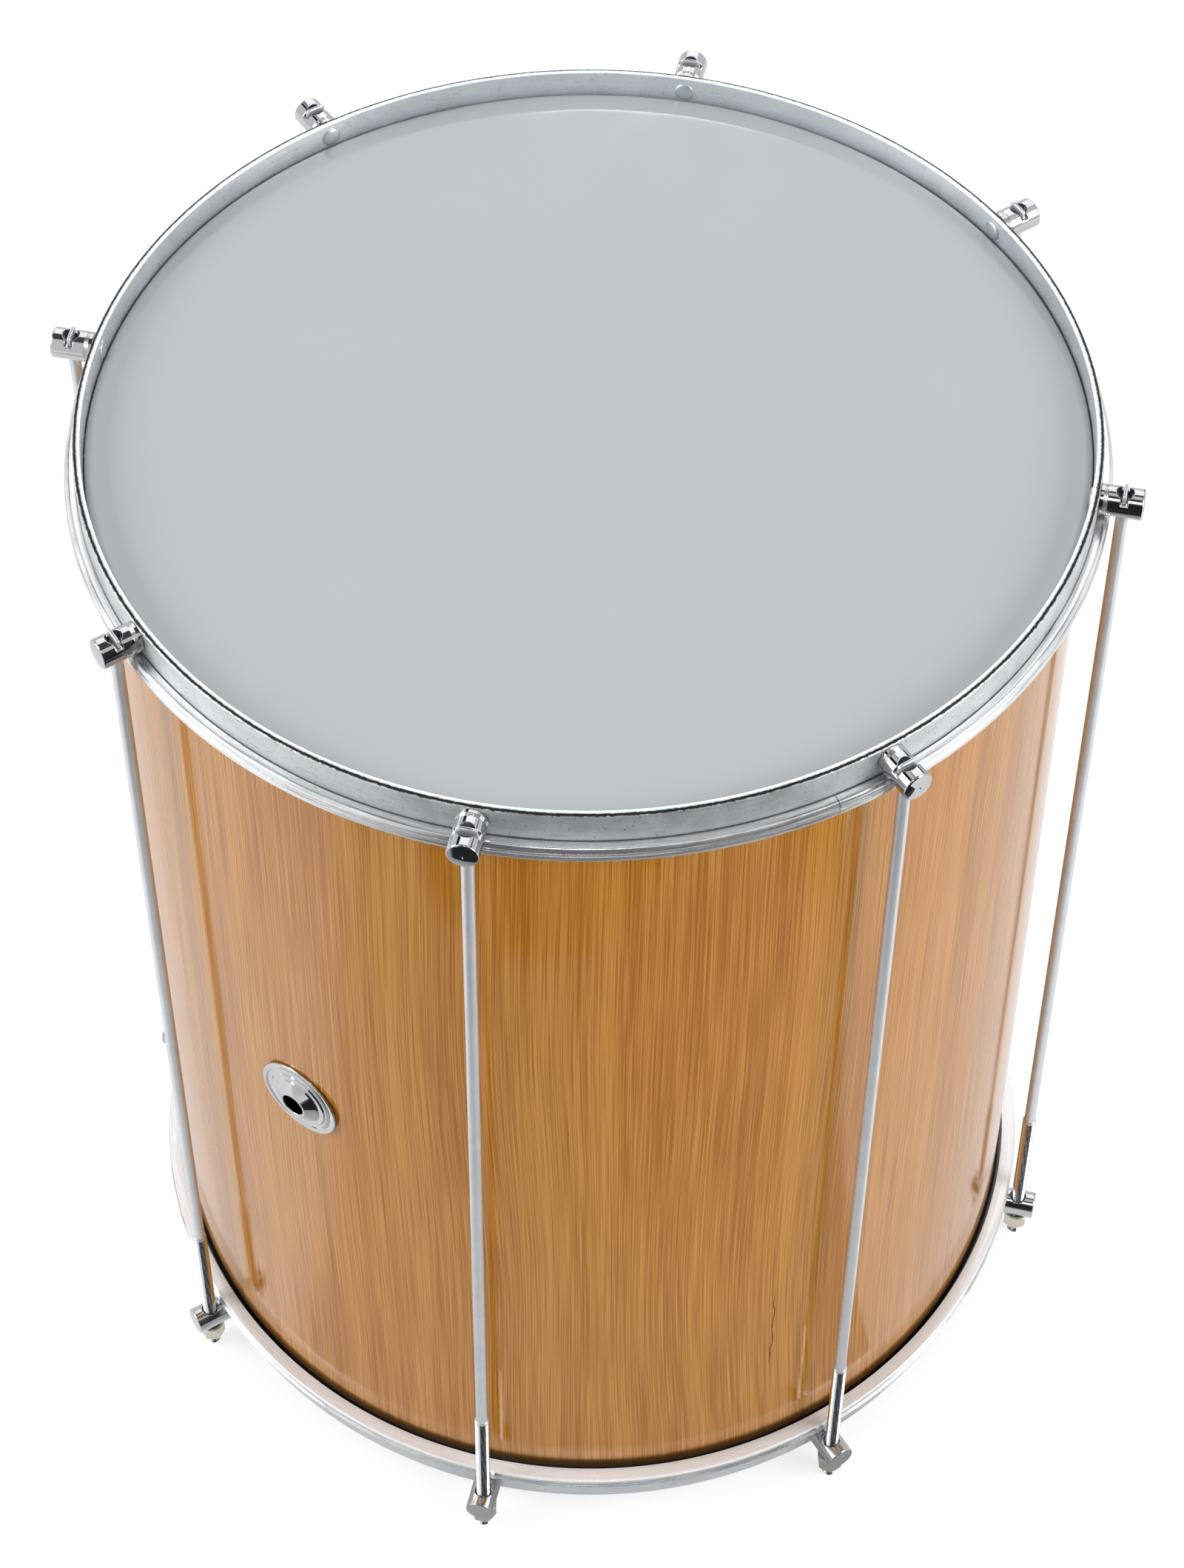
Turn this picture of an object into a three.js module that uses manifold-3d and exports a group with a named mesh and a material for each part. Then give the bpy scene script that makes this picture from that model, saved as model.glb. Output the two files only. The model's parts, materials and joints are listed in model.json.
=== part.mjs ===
// A surdo, the big bass drum of a samba band: a wooden shell with a head at each end,
// stretched by two steel hoops that eight long tension rods pull towards each other.
// Millimetres, +Z up, origin on the floor under the middle of the drum.

import * as THREE from 'three';
import { mergeVertices } from 'three/addons/utils/BufferGeometryUtils.js';
import Module from 'manifold-3d';

// Driving dimensions. The shell.
const SHELL_DIAMETER = 508;
const SHELL_LENGTH = 625;
const SHELL_WALL = 6;
const BEARING_ROUND = 3;

// The heads, each a film that is gripped in an aluminium flesh hoop.
const FILM_THICKNESS = 0.35;
const COLLAR_CLEARANCE = 0.9;
const HEAD_RECESS = 13;
const FLESH_HOOP_REACH = 10.2;
const FLESH_HOOP_EDGE_DEPTH = 25.8;
const FLESH_HOOP_LIP_HEIGHT = 3.1;
const THIN_BEAD_INSET = 0.3;
const BEAD_GROOVE_DEPTH = 0.7;
const BEAD_GROOVE_WIDTH = 0.8;
const THIN_BEAD_WIDTH = 0.6;
const ROUND_BEAD_RADIUS = 2.3;
const HOOP_SEAT_DEPTH = 1.2;
const FILM_SLOT_HEIGHT = 1.8;
const FILM_SLOT_REACH = 5.8;
const FILM_SLOT_FLOOR = 2.4;

// The steel hoops, flat bars rolled into rings.
const HOOP_THICKNESS = 4;
const HOOP_HEIGHT = 19;
const HOOP_EDGE_ROUND = 0.5;
const HOOP_TWIST_DEGREES = 1.7;

// The posts that stand out of the hoops.
const ROD_COUNT = 8;
const POST_DIAMETER = 16;
const POST_LENGTH = 23.2;
const POST_FROM_HOOP_EDGE = 8.9;
const POST_END_CHAMFER = 0.5;
const POST_DOME_HEIGHT = 0.9;
const POST_DOME_EDGE = 0.7;
const TENON_DIAMETER = 8;
const TENON_HEAD_DIAMETER = 10.5;
const TENON_HEAD_HEIGHT = 1.8;
const TENON_HEAD_EDGE = 0.8;
const HOOK_HOLE_DIAMETER = 8.7;
const HOOK_SLOT_WIDTH = 3.8;
const HOOK_SLOT_DEPTH = 4.1;
const EYE_DIAMETER = 9.6;

// The tension rods, with a flattened head at the top and a thread at the bottom.
const ROD_FROM_HOOP = 12.1;
const ROD_DIAMETER = 6.5;
const THREAD_DIAMETER = 8;
const THREAD_LENGTH = 120;
const THREAD_RUNOUT = 0.8;
const ROD_HEAD_WIDTH = 11;
const ROD_HEAD_THICKNESS = 2.2;
const ROD_HEAD_STAND = 1;
const ROD_HEAD_CORNER = 2.2;
const ROD_NECK_LENGTH = 4;
const ROD_TAIL = 9.5;

// What is screwed onto each rod.
const WASHER_DIAMETER = 15;
const WASHER_THICKNESS = 2.4;
const NUT_ACROSS_FLATS = 13;
const NUT_HEIGHT = 9;
const THREAD_CLEARANCE = 0.2;

// The vent: a pressed plate with a neck through the shell, and a ring nut behind it.
const VENT_DIAMETER = 50;
const VENT_RIM_THICKNESS = 1.1;
const VENT_STEP_HEIGHT = 0.8;
const VENT_OUTER_STEP_DIAMETER = 37;
const VENT_INNER_STEP_DIAMETER = 30;
const VENT_CROWN_HEIGHT = 3.4;
const VENT_MOUTH_DIAMETER = 16.4;
const VENT_HOLE_DIAMETER = 13.6;
const VENT_NECK_DIAMETER = 18;
const VENT_RING_DIAMETER = 27;
const VENT_RING_THICKNESS = 3;
const VENT_ANGLE_DEGREES = -115.6;
const VENT_ABOVE_MIDDLE = 8.6;

// Gap between pieces that touch, overrun of a cut past its face, and the welding distance.
const GAP = 0.3;
const OVERRUN = 1;
const WELD_DISTANCE = 1e-4;

// How finely round things are divided.
const RING_SIDES = 48;
const POST_SIDES = 12;
const HOLE_SIDES = 10;
const ROD_SIDES = 10;
const NUT_SIDES = 6;
const ARC_STEPS = 2;
const VENT_SIDES = 16;

const FRONT_ANGLE = -Math.PI / 2;
const ringFlat = Math.cos(Math.PI / RING_SIDES);
const hoopTwist = THREE.MathUtils.degToRad(HOOP_TWIST_DEGREES);
const postStep = 2 * Math.PI / ROD_COUNT;

// Radii, from the shell outwards.
const shellRadius = SHELL_DIAMETER / 2;
const shellInside = shellRadius - SHELL_WALL;
const filmInside = shellRadius + COLLAR_CLEARANCE;
const filmOutside = filmInside + FILM_THICKNESS;
const hoopInside = filmOutside + GAP;
const hoopOutside = hoopInside + HOOP_THICKNESS;
const fleshOutside = hoopInside + FLESH_HOOP_REACH;
const rodCircle = hoopOutside + ROD_FROM_HOOP;
const postSeatOutside = hoopOutside * ringFlat;
const postSeatInside = hoopInside * ringFlat;

// Depths, measured into the drum from the outer edge of a hoop.
const filmTopDepth = HEAD_RECESS;
const filmUnderDepth = filmTopDepth + FILM_THICKNESS;
const shellEdgeDepth = filmUnderDepth + GAP;
const seatDepth = HOOP_HEIGHT + GAP;
const ledgeDepth = seatDepth - HOOP_SEAT_DEPTH;
const slotNearDepth = FLESH_HOOP_EDGE_DEPTH - FILM_SLOT_FLOOR - FILM_SLOT_HEIGHT;
const slotFarDepth = FLESH_HOOP_EDGE_DEPTH - FILM_SLOT_FLOOR;
const flangeNearDepth = (slotNearDepth + slotFarDepth - FILM_THICKNESS) / 2;
const flangeFarDepth = flangeNearDepth + FILM_THICKNESS;

// Heights above the floor. The drum stands on the ends of its rods.
const postRadius = POST_DIAMETER / 2;
const postUnderside = postRadius * Math.cos(Math.PI / POST_SIDES);
const screwedStack = WASHER_THICKNESS + NUT_HEIGHT + 2 * GAP + ROD_TAIL;
const footHeight = postUnderside - POST_FROM_HOOP_EDGE + screwedStack;
const bottomEdge = footHeight;
const topEdge = bottomEdge + SHELL_LENGTH + 2 * shellEdgeDepth;
const middleHeight = (topEdge + bottomEdge) / 2;
const hookPostHeight = topEdge - POST_FROM_HOOP_EDGE;
const eyePostHeight = bottomEdge + POST_FROM_HOOP_EDGE;

const wasm = await Module();
wasm.setup();

// Turns any geometry into one with shared corners and no triangle of two equal corners.
function welded(geometry) {
  const bare = geometry.clone();
  bare.deleteAttribute('normal');
  bare.deleteAttribute('uv');
  const merged = mergeVertices(bare, WELD_DISTANCE);
  const corners = merged.index.array;
  const kept = [];
  for (let i = 0; i < corners.length; i += 3) {
    const [a, b, c] = [corners[i], corners[i + 1], corners[i + 2]];
    if (a !== b && b !== c && c !== a) {
      kept.push(a, b, c);
    }
  }
  merged.setIndex(kept);
  return merged;
}

function toSolid(geometry) {
  const vertProperties = new Float32Array(geometry.attributes.position.array);
  const triVerts = new Uint32Array(geometry.index.array);
  return new wasm.Manifold(new wasm.Mesh({ numProp: 3, vertProperties, triVerts }));
}

function toGeometry(solid) {
  const mesh = solid.getMesh();
  const geometry = new THREE.BufferGeometry();
  geometry.setAttribute('position', new THREE.BufferAttribute(mesh.vertProperties, 3));
  geometry.setIndex(new THREE.BufferAttribute(mesh.triVerts, 1));
  return geometry;
}

function cut(geometry, tools) {
  const solid = tools.reduce((rest, tool) => rest.subtract(toSolid(tool)), toSolid(geometry));
  return toGeometry(solid);
}

function join(first, second) {
  return toGeometry(toSolid(first).add(toSolid(second)));
}

// Revolves [radius, height] points about Z. They run up the outer side, so faces point out,
// and one flat of the ring faces each post.
function revolved(points, sides) {
  const outline = points.map(([radius, height]) => new THREE.Vector2(radius, height));
  const halfSide = Math.PI / sides;
  const geometry = new THREE.LatheGeometry(outline, sides, halfSide, 2 * Math.PI);
  geometry.rotateX(Math.PI / 2);
  return welded(geometry);
}

function closed(points) {
  return [...points, points[0]];
}

// The points of an arc as [radius, depth], from one angle to another about a centre.
function arcPoints(centre, radius, from, to) {
  const points = [];
  for (let i = 0; i <= ARC_STEPS; i += 1) {
    const angle = from + (to - from) * i / ARC_STEPS;
    points.push([centre[0] + radius * Math.cos(angle), centre[1] - radius * Math.sin(angle)]);
  }
  return points;
}

// A profile in depths becomes one in heights, at the top end or mirrored at the bottom end.
function atTop(points) {
  return points.map(([radius, depth]) => [radius, topEdge - depth]);
}

function atBottom(points) {
  return points.map(([radius, depth]) => [radius, bottomEdge + depth]).reverse();
}

function roundBar(radius, length, sides) {
  const geometry = new THREE.CylinderGeometry(radius, radius, length, sides);
  geometry.rotateX(Math.PI / 2);
  return welded(geometry);
}

function finish(colour, roughness, metalness) {
  return new THREE.MeshStandardMaterial({ color: colour, roughness, metalness });
}

const FINISHES = {
  wood: finish(0xc08a4e, 0.18, 0),
  film: finish(0xd9dde0, 0.25, 0),
  aluminium: finish(0xd4d6d8, 0.28, 1),
  galvanised: finish(0xa9b0b4, 0.34, 1),
  chrome: finish(0xdfe2e5, 0.08, 1),
  nickel: finish(0xc9c0b0, 0.22, 1),
};

function piece(name, geometry, material) {
  const mesh = new THREE.Mesh(geometry, material.clone());
  mesh.name = name;
  return mesh;
}

// The shell has a bearing edge at each end: rounded outside, cut at 45 degrees inside.
const bearingPeak = shellRadius - BEARING_ROUND;

function bearingEdge() {
  const centre = [bearingPeak, shellEdgeDepth + BEARING_ROUND];
  const crown = arcPoints(centre, BEARING_ROUND, 0, Math.PI / 2);
  return [...crown, [shellInside, shellEdgeDepth + bearingPeak - shellInside]];
}

function ventFrame() {
  const frame = new THREE.Group();
  frame.rotation.set(0, Math.PI / 2, 0);
  const turned = new THREE.Group();
  turned.rotation.z = THREE.MathUtils.degToRad(VENT_ANGLE_DEGREES);
  turned.position.z = middleHeight + VENT_ABOVE_MIDDLE;
  turned.add(frame);
  return [turned, frame];
}

function makeShell() {
  const body = revolved(closed([...atBottom(bearingEdge()), ...atTop(bearingEdge())]), RING_SIDES);
  const hole = roundBar(VENT_NECK_DIAMETER / 2 + 2 * GAP, SHELL_DIAMETER, VENT_SIDES);
  hole.translate(0, 0, shellRadius);
  const [turned, frame] = ventFrame();
  turned.updateMatrixWorld(true);
  hole.applyMatrix4(frame.matrixWorld);
  return cut(body, [hole]);
}

// A head: a flat film that bends over the bearing edge and ends in a flange in its flesh hoop.
function headProfile() {
  const underRound = BEARING_ROUND + COLLAR_CLEARANCE;
  const centre = [bearingPeak, filmUnderDepth + underRound];
  const flangeReach = hoopInside + FILM_SLOT_REACH - GAP;
  return [
    [0, filmUnderDepth],
    ...arcPoints(centre, underRound, Math.PI / 2, 0),
    [filmInside, flangeFarDepth],
    [flangeReach, flangeFarDepth],
    [flangeReach, flangeNearDepth],
    [filmOutside, flangeNearDepth],
    ...arcPoints(centre, underRound + FILM_THICKNESS, 0, Math.PI / 2),
    [0, filmTopDepth],
  ];
}

// A flesh hoop: a beaded ring with a seat for the steel hoop and a slot for the film.
function fleshHoopProfile() {
  const lipTop = FLESH_HOOP_EDGE_DEPTH - FLESH_HOOP_LIP_HEIGHT;
  const grooveRadius = fleshOutside - BEAD_GROOVE_DEPTH;
  const thinBead = lipTop - BEAD_GROOVE_WIDTH;
  const roundBeadEdge = thinBead - THIN_BEAD_WIDTH;
  const beadCentre = [grooveRadius - ROUND_BEAD_RADIUS, ledgeDepth + ROUND_BEAD_RADIUS];
  return closed([
    [hoopInside, FLESH_HOOP_EDGE_DEPTH],
    [fleshOutside, FLESH_HOOP_EDGE_DEPTH],
    [fleshOutside, lipTop],
    [grooveRadius, (lipTop + thinBead) / 2],
    [fleshOutside - THIN_BEAD_INSET, (thinBead + roundBeadEdge) / 2],
    ...arcPoints(beadCentre, ROUND_BEAD_RADIUS, 0, Math.PI / 2),
    [hoopOutside + GAP, ledgeDepth],
    [hoopOutside + GAP, seatDepth],
    [hoopInside, seatDepth],
    [hoopInside, slotNearDepth],
    [hoopInside + FILM_SLOT_REACH, slotNearDepth],
    [hoopInside + FILM_SLOT_REACH, slotFarDepth],
    [hoopInside, slotFarDepth],
  ]);
}

function hoopProfile() {
  return closed([
    [hoopInside, HOOP_HEIGHT],
    [hoopOutside, HOOP_HEIGHT],
    [hoopOutside, HOOP_EDGE_ROUND],
    [hoopOutside - HOOP_EDGE_ROUND, 0],
    [hoopInside + HOOP_EDGE_ROUND, 0],
    [hoopInside, HOOP_EDGE_ROUND],
  ]);
}

// A steel hoop has a round hole for the tenon of each post.
function makeHoop(profile, postHeight) {
  const holes = [];
  for (let k = 0; k < ROD_COUNT; k += 1) {
    const hole = roundBar(TENON_DIAMETER / 2 + GAP, HOOP_THICKNESS + 2 * OVERRUN, HOLE_SIDES);
    hole.rotateY(Math.PI / 2);
    hole.translate((hoopInside + hoopOutside) / 2, 0, postHeight);
    hole.rotateZ(k * postStep);
    holes.push(hole);
  }
  return cut(revolved(profile, RING_SIDES), holes);
}

// The inner end of both kinds of post: the tenon through the hoop and its riveted head.
function tenonProfile() {
  const headBack = postSeatInside - GAP - postSeatOutside;
  const headTop = headBack - TENON_HEAD_HEIGHT;
  return [
    [0, headTop],
    [TENON_HEAD_DIAMETER / 2 - TENON_HEAD_EDGE, headTop],
    [TENON_HEAD_DIAMETER / 2, headTop + TENON_HEAD_EDGE],
    [TENON_HEAD_DIAMETER / 2, headBack],
    [TENON_DIAMETER / 2, headBack],
    [TENON_DIAMETER / 2, GAP],
    [postRadius, GAP],
  ];
}

// A post is turned about its own axis, which then points out along X from the hoop's face.
function turnedPost(points) {
  const geometry = revolved(points, POST_SIDES);
  geometry.rotateY(Math.PI / 2);
  return geometry;
}

function makeHookPost() {
  const body = turnedPost([
    ...tenonProfile(),
    [postRadius, POST_LENGTH - POST_DOME_HEIGHT],
    [postRadius - POST_DOME_EDGE, POST_LENGTH - POST_DOME_HEIGHT / 2],
    [0, POST_LENGTH],
  ]);
  const hole = roundBar(HOOK_HOLE_DIAMETER / 2, POST_DIAMETER + 2 * OVERRUN, HOLE_SIDES);
  hole.translate(rodCircle - postSeatOutside, 0, 0);
  const slotHeight = HOOK_SLOT_DEPTH + OVERRUN;
  const slotBox = new THREE.BoxGeometry(HOOK_SLOT_WIDTH, POST_DIAMETER + 2 * OVERRUN, slotHeight);
  const slot = welded(slotBox);
  slot.translate(rodCircle - postSeatOutside, 0, postRadius - HOOK_SLOT_DEPTH + slotHeight / 2);
  return cut(body, [hole, slot]);
}

function makeEyePost() {
  const body = turnedPost([
    ...tenonProfile(),
    [postRadius, POST_LENGTH - POST_END_CHAMFER],
    [postRadius - POST_END_CHAMFER, POST_LENGTH],
    [0, POST_LENGTH],
  ]);
  const eye = roundBar(EYE_DIAMETER / 2, POST_DIAMETER + 2 * OVERRUN, HOLE_SIDES);
  eye.translate(rodCircle - postSeatOutside, 0, 0);
  return cut(body, [eye]);
}

// Each rod runs from the floor of its slot in a hook post to the eye of a post that the
// twist of the lower hoop has moved aside, so it leans a little. Along it, z is 0 at the slot.
const slotFloorHeight = hookPostHeight + postRadius - HOOK_SLOT_DEPTH;
const rodTop = new THREE.Vector3(rodCircle, 0, slotFloorHeight);
const rodLow = new THREE.Vector3(rodCircle, 0, eyePostHeight);
rodLow.applyAxisAngle(new THREE.Vector3(0, 0, 1), -hoopTwist);
const rodUp = rodTop.clone().sub(rodLow).normalize();
const rodSpan = rodTop.distanceTo(rodLow);
const rodLean = Math.acos(rodUp.z);
const rodEndRadius = THREAD_DIAMETER / 2 - THREAD_RUNOUT;
const rodLength = (slotFloorHeight - rodEndRadius * Math.sin(rodLean)) / rodUp.z;

function makeRod() {
  const threadRadius = THREAD_DIAMETER / 2;
  const shankRadius = ROD_DIAMETER / 2;
  const threadTop = THREAD_LENGTH - rodLength;
  const bar = revolved([
    [0, -rodLength],
    [rodEndRadius, -rodLength],
    [threadRadius, THREAD_RUNOUT - rodLength],
    [threadRadius, threadTop],
    [shankRadius, threadTop + THREAD_RUNOUT],
    [shankRadius, -ROD_NECK_LENGTH],
    [ROD_HEAD_THICKNESS / 2, GAP],
    [0, GAP],
  ], ROD_SIDES);
  const headTop = HOOK_SLOT_DEPTH + ROD_HEAD_STAND;
  const half = ROD_HEAD_WIDTH / 2;
  const cornerSide = half - ROD_HEAD_CORNER;
  const cornerHeight = headTop - ROD_HEAD_CORNER;
  const stem = shankRadius - THREAD_RUNOUT / 2;
  const outline = new THREE.Shape();
  outline.moveTo(-stem, -ROD_NECK_LENGTH);
  outline.lineTo(stem, -ROD_NECK_LENGTH);
  outline.lineTo(stem, GAP);
  outline.lineTo(half, GAP);
  outline.absarc(cornerSide, cornerHeight, ROD_HEAD_CORNER, 0, Math.PI / 2);
  outline.absarc(-cornerSide, cornerHeight, ROD_HEAD_CORNER, Math.PI / 2, Math.PI);
  outline.lineTo(-half, GAP);
  outline.lineTo(-stem, GAP);
  outline.closePath();
  const settings = { depth: ROD_HEAD_THICKNESS, bevelEnabled: false, curveSegments: ARC_STEPS };
  const plate = welded(new THREE.ExtrudeGeometry(outline, settings));
  plate.translate(0, 0, -ROD_HEAD_THICKNESS / 2);
  plate.rotateX(Math.PI / 2);
  plate.rotateZ(Math.PI / 2);
  return join(bar, plate);
}

function makeWasher() {
  const bore = THREAD_DIAMETER / 2 + GAP;
  return revolved(closed([
    [bore, 0],
    [WASHER_DIAMETER / 2, 0],
    [WASHER_DIAMETER / 2, WASHER_THICKNESS],
    [bore, WASHER_THICKNESS],
  ]), ROD_SIDES);
}

function makeNut() {
  const cornerRadius = NUT_ACROSS_FLATS / 2 / Math.cos(Math.PI / NUT_SIDES);
  const corners = [];
  for (let i = 0; i < NUT_SIDES; i += 1) {
    const angle = 2 * Math.PI * i / NUT_SIDES;
    corners.push(new THREE.Vector2(cornerRadius * Math.cos(angle), cornerRadius * Math.sin(angle)));
  }
  const outline = new THREE.Shape(corners);
  const bore = new THREE.Path();
  bore.absarc(0, 0, THREAD_DIAMETER / 2 + THREAD_CLEARANCE, 0, 2 * Math.PI, true);
  outline.holes.push(bore);
  const settings = { depth: NUT_HEIGHT, bevelEnabled: false, curveSegments: HOLE_SIDES / 2 };
  return welded(new THREE.ExtrudeGeometry(outline, settings));
}

// The vent's pieces are turned about its own axis: z is 0 at the outside of the shell, and the
// ring nut's face lies where its edge meets the curved inside of the shell.
const ventRingSeat = Math.sqrt(shellInside ** 2 - (VENT_RING_DIAMETER / 2) ** 2);
const ventRingFace = ventRingSeat * ringFlat - GAP - shellRadius;

function makeVentPlate() {
  const rimTop = GAP + VENT_RIM_THICKNESS;
  const outerStep = VENT_OUTER_STEP_DIAMETER / 2;
  const innerStep = VENT_INNER_STEP_DIAMETER / 2;
  const mouthTop = rimTop + 2 * VENT_STEP_HEIGHT + VENT_CROWN_HEIGHT;
  const neckEnd = ventRingFace - VENT_RING_THICKNESS - GAP;
  return revolved(closed([
    [VENT_HOLE_DIAMETER / 2, neckEnd],
    [VENT_NECK_DIAMETER / 2, neckEnd],
    [VENT_NECK_DIAMETER / 2, GAP],
    [VENT_DIAMETER / 2, GAP],
    [VENT_DIAMETER / 2, rimTop],
    [outerStep, rimTop],
    [outerStep - VENT_STEP_HEIGHT, rimTop + VENT_STEP_HEIGHT],
    [innerStep, rimTop + VENT_STEP_HEIGHT],
    [innerStep - VENT_STEP_HEIGHT, rimTop + 2 * VENT_STEP_HEIGHT],
    [VENT_MOUTH_DIAMETER / 2, mouthTop],
    [VENT_HOLE_DIAMETER / 2, mouthTop],
  ]), VENT_SIDES);
}

function makeVentRing() {
  const bore = VENT_NECK_DIAMETER / 2 + GAP;
  return revolved(closed([
    [bore, ventRingFace - VENT_RING_THICKNESS],
    [VENT_RING_DIAMETER / 2, ventRingFace - VENT_RING_THICKNESS],
    [VENT_RING_DIAMETER / 2, ventRingFace],
    [bore, ventRingFace],
  ]), VENT_SIDES);
}

// The drum put together.
const surdo = new THREE.Group();
surdo.add(piece('shell', makeShell(), FINISHES.wood));

// The three rings of one end: its head, its flesh hoop and its steel hoop.
function makeEnd(side, placed, postHeight) {
  const head = revolved(placed(headProfile()), RING_SIDES);
  const fleshHoop = revolved(placed(fleshHoopProfile()), RING_SIDES);
  const hoop = makeHoop(placed(hoopProfile()), postHeight);
  const end = new THREE.Group();
  end.add(piece(`${side}_head`, head, FINISHES.film));
  end.add(piece(`${side}_flesh_hoop`, fleshHoop, FINISHES.aluminium));
  end.add(piece(`${side}_hoop`, hoop, FINISHES.galvanised));
  return end;
}

const upperEnd = makeEnd('top', atTop, hookPostHeight);
surdo.add(upperEnd);

const lowerEnd = makeEnd('bottom', atBottom, eyePostHeight);
lowerEnd.rotation.z = -hoopTwist;
surdo.add(lowerEnd);

const hookPost = makeHookPost();
const eyePost = makeEyePost();
const tensionRod = makeRod();
const washer = makeWasher();
const nut = makeNut();

// Where the washer's upper face and the nut's upper face lie, below the slot along the rod.
const washerFace = rodSpan + postUnderside + GAP;
const nutFace = washerFace + WASHER_THICKNESS + GAP;

// The axes of a frame at the slot: z runs up along the leaning rod and x points outwards.
const rodAcross = new THREE.Vector3().crossVectors(rodUp, new THREE.Vector3(1, 0, 0)).normalize();
const rodOutwards = new THREE.Vector3().crossVectors(rodAcross, rodUp);
const rodAxes = new THREE.Matrix4().makeBasis(rodOutwards, rodAcross, rodUp);

for (let k = 0; k < ROD_COUNT; k += 1) {
  const number = k + 1;
  const angle = FRONT_ANGLE + k * postStep;

  const hookMesh = piece(`hook_post_${number}`, hookPost, FINISHES.chrome);
  hookMesh.position.set(postSeatOutside, 0, hookPostHeight);
  const upperStation = new THREE.Group();
  upperStation.rotation.z = angle;
  upperStation.add(hookMesh);
  upperEnd.add(upperStation);

  const eyeMesh = piece(`eye_post_${number}`, eyePost, FINISHES.chrome);
  eyeMesh.position.set(postSeatOutside, 0, eyePostHeight);
  const lowerStation = new THREE.Group();
  lowerStation.rotation.z = angle;
  lowerStation.add(eyeMesh);
  lowerEnd.add(lowerStation);

  const rodFrame = new THREE.Group();
  rodFrame.quaternion.setFromRotationMatrix(rodAxes);
  rodFrame.position.copy(rodTop);
  rodFrame.add(piece(`tension_rod_${number}`, tensionRod, FINISHES.chrome));
  const washerMesh = piece(`washer_${number}`, washer, FINISHES.nickel);
  washerMesh.position.z = -washerFace - WASHER_THICKNESS;
  rodFrame.add(washerMesh);
  const nutMesh = piece(`tension_nut_${number}`, nut, FINISHES.nickel);
  nutMesh.position.z = -nutFace - NUT_HEIGHT;
  rodFrame.add(nutMesh);
  const rodStation = new THREE.Group();
  rodStation.rotation.z = angle;
  rodStation.add(rodFrame);
  surdo.add(rodStation);
}

const [ventPlace, ventAxis] = ventFrame();
ventAxis.position.set(shellRadius, 0, 0);
ventAxis.add(piece('vent_plate', makeVentPlate(), FINISHES.chrome));
ventAxis.add(piece('vent_ring', makeVentRing(), FINISHES.chrome));
surdo.add(ventPlace);

export default surdo;
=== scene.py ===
"""A surdo, the big bass drum of a samba band, in its finishes for a product picture.

The frame gives the place and the true size of each part. Each operator builds the visible
surface of one part, or of a group of like parts, from arrays of points, and gives it a
material made of nodes. The main function runs the operators in order.
"""

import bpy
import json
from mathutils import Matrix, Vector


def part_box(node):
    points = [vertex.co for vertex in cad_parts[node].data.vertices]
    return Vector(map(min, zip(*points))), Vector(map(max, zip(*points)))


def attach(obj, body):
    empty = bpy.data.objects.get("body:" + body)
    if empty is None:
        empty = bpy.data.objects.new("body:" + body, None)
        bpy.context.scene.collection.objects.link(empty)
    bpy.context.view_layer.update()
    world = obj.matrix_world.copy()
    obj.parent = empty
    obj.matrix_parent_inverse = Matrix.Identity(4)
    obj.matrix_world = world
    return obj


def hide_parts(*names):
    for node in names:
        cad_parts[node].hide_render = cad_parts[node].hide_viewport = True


bl_info = {
    "name": "Surdo drum",
    "version": (1, 0, 0),
    "blender": (4, 5, 0),
    "location": "3D View > Sidebar > Surdo",
    "description": "Builds the visible surfaces of a surdo around its frame",
    "category": "Add Mesh",
}

import json
import math

import bpy
import numpy as np
from mathutils import Matrix, Vector

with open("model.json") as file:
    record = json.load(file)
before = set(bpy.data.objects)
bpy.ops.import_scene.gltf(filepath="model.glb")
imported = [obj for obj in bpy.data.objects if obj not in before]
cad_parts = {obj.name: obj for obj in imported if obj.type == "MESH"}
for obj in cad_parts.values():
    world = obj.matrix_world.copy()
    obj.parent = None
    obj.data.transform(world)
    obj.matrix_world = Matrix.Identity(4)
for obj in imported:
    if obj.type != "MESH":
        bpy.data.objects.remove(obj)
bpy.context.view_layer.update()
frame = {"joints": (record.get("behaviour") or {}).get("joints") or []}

MM = 0.001
TURN = 2 * math.pi
QUARTER = math.pi / 2

# The frame's round parts have flats. These are the flats round a ring and round a post.
RING_FLATS = 48
POST_FLATS = 12
STATIONS = range(1, 9)


def round_radius(reach, flats):
    """The radius of a round part whose flats lie at that reach from its axis."""
    return reach / math.cos(math.pi / flats)


def middle(node):
    """The centre of a node's box."""
    low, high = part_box(node)
    return (low + high) / 2


SHELL_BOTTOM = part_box("shell")[0].z
SHELL_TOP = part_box("shell")[1].z
SHELL_RADIUS = round_radius(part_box("shell")[1].x, RING_FLATS)
TOP_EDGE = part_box("top_hoop")[1].z
BOTTOM_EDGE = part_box("bottom_hoop")[0].z
MIDDLE_HEIGHT = (TOP_EDGE + BOTTOM_EDGE) / 2
HALF_HEIGHT = (TOP_EDGE - BOTTOM_EDGE) / 2
HOOP_HEIGHT = TOP_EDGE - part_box("top_hoop")[0].z
HOOP_OUTSIDE = round_radius(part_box("top_hoop")[1].x, RING_FLATS)
FLESH_OUTSIDE = round_radius(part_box("top_flesh_hoop")[1].x, RING_FLATS)
FLESH_NEAR = TOP_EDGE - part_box("top_flesh_hoop")[1].z
FLESH_FAR = TOP_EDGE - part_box("top_flesh_hoop")[0].z
FILM_DEPTH = TOP_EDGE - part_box("top_head")[1].z
FLANGE_REACH = round_radius(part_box("top_head")[1].x, RING_FLATS)
POST_LOW, POST_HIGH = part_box("hook_post_1")
POST_RADIUS = round_radius((POST_HIGH - POST_LOW).z / 2, POST_FLATS)
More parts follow.
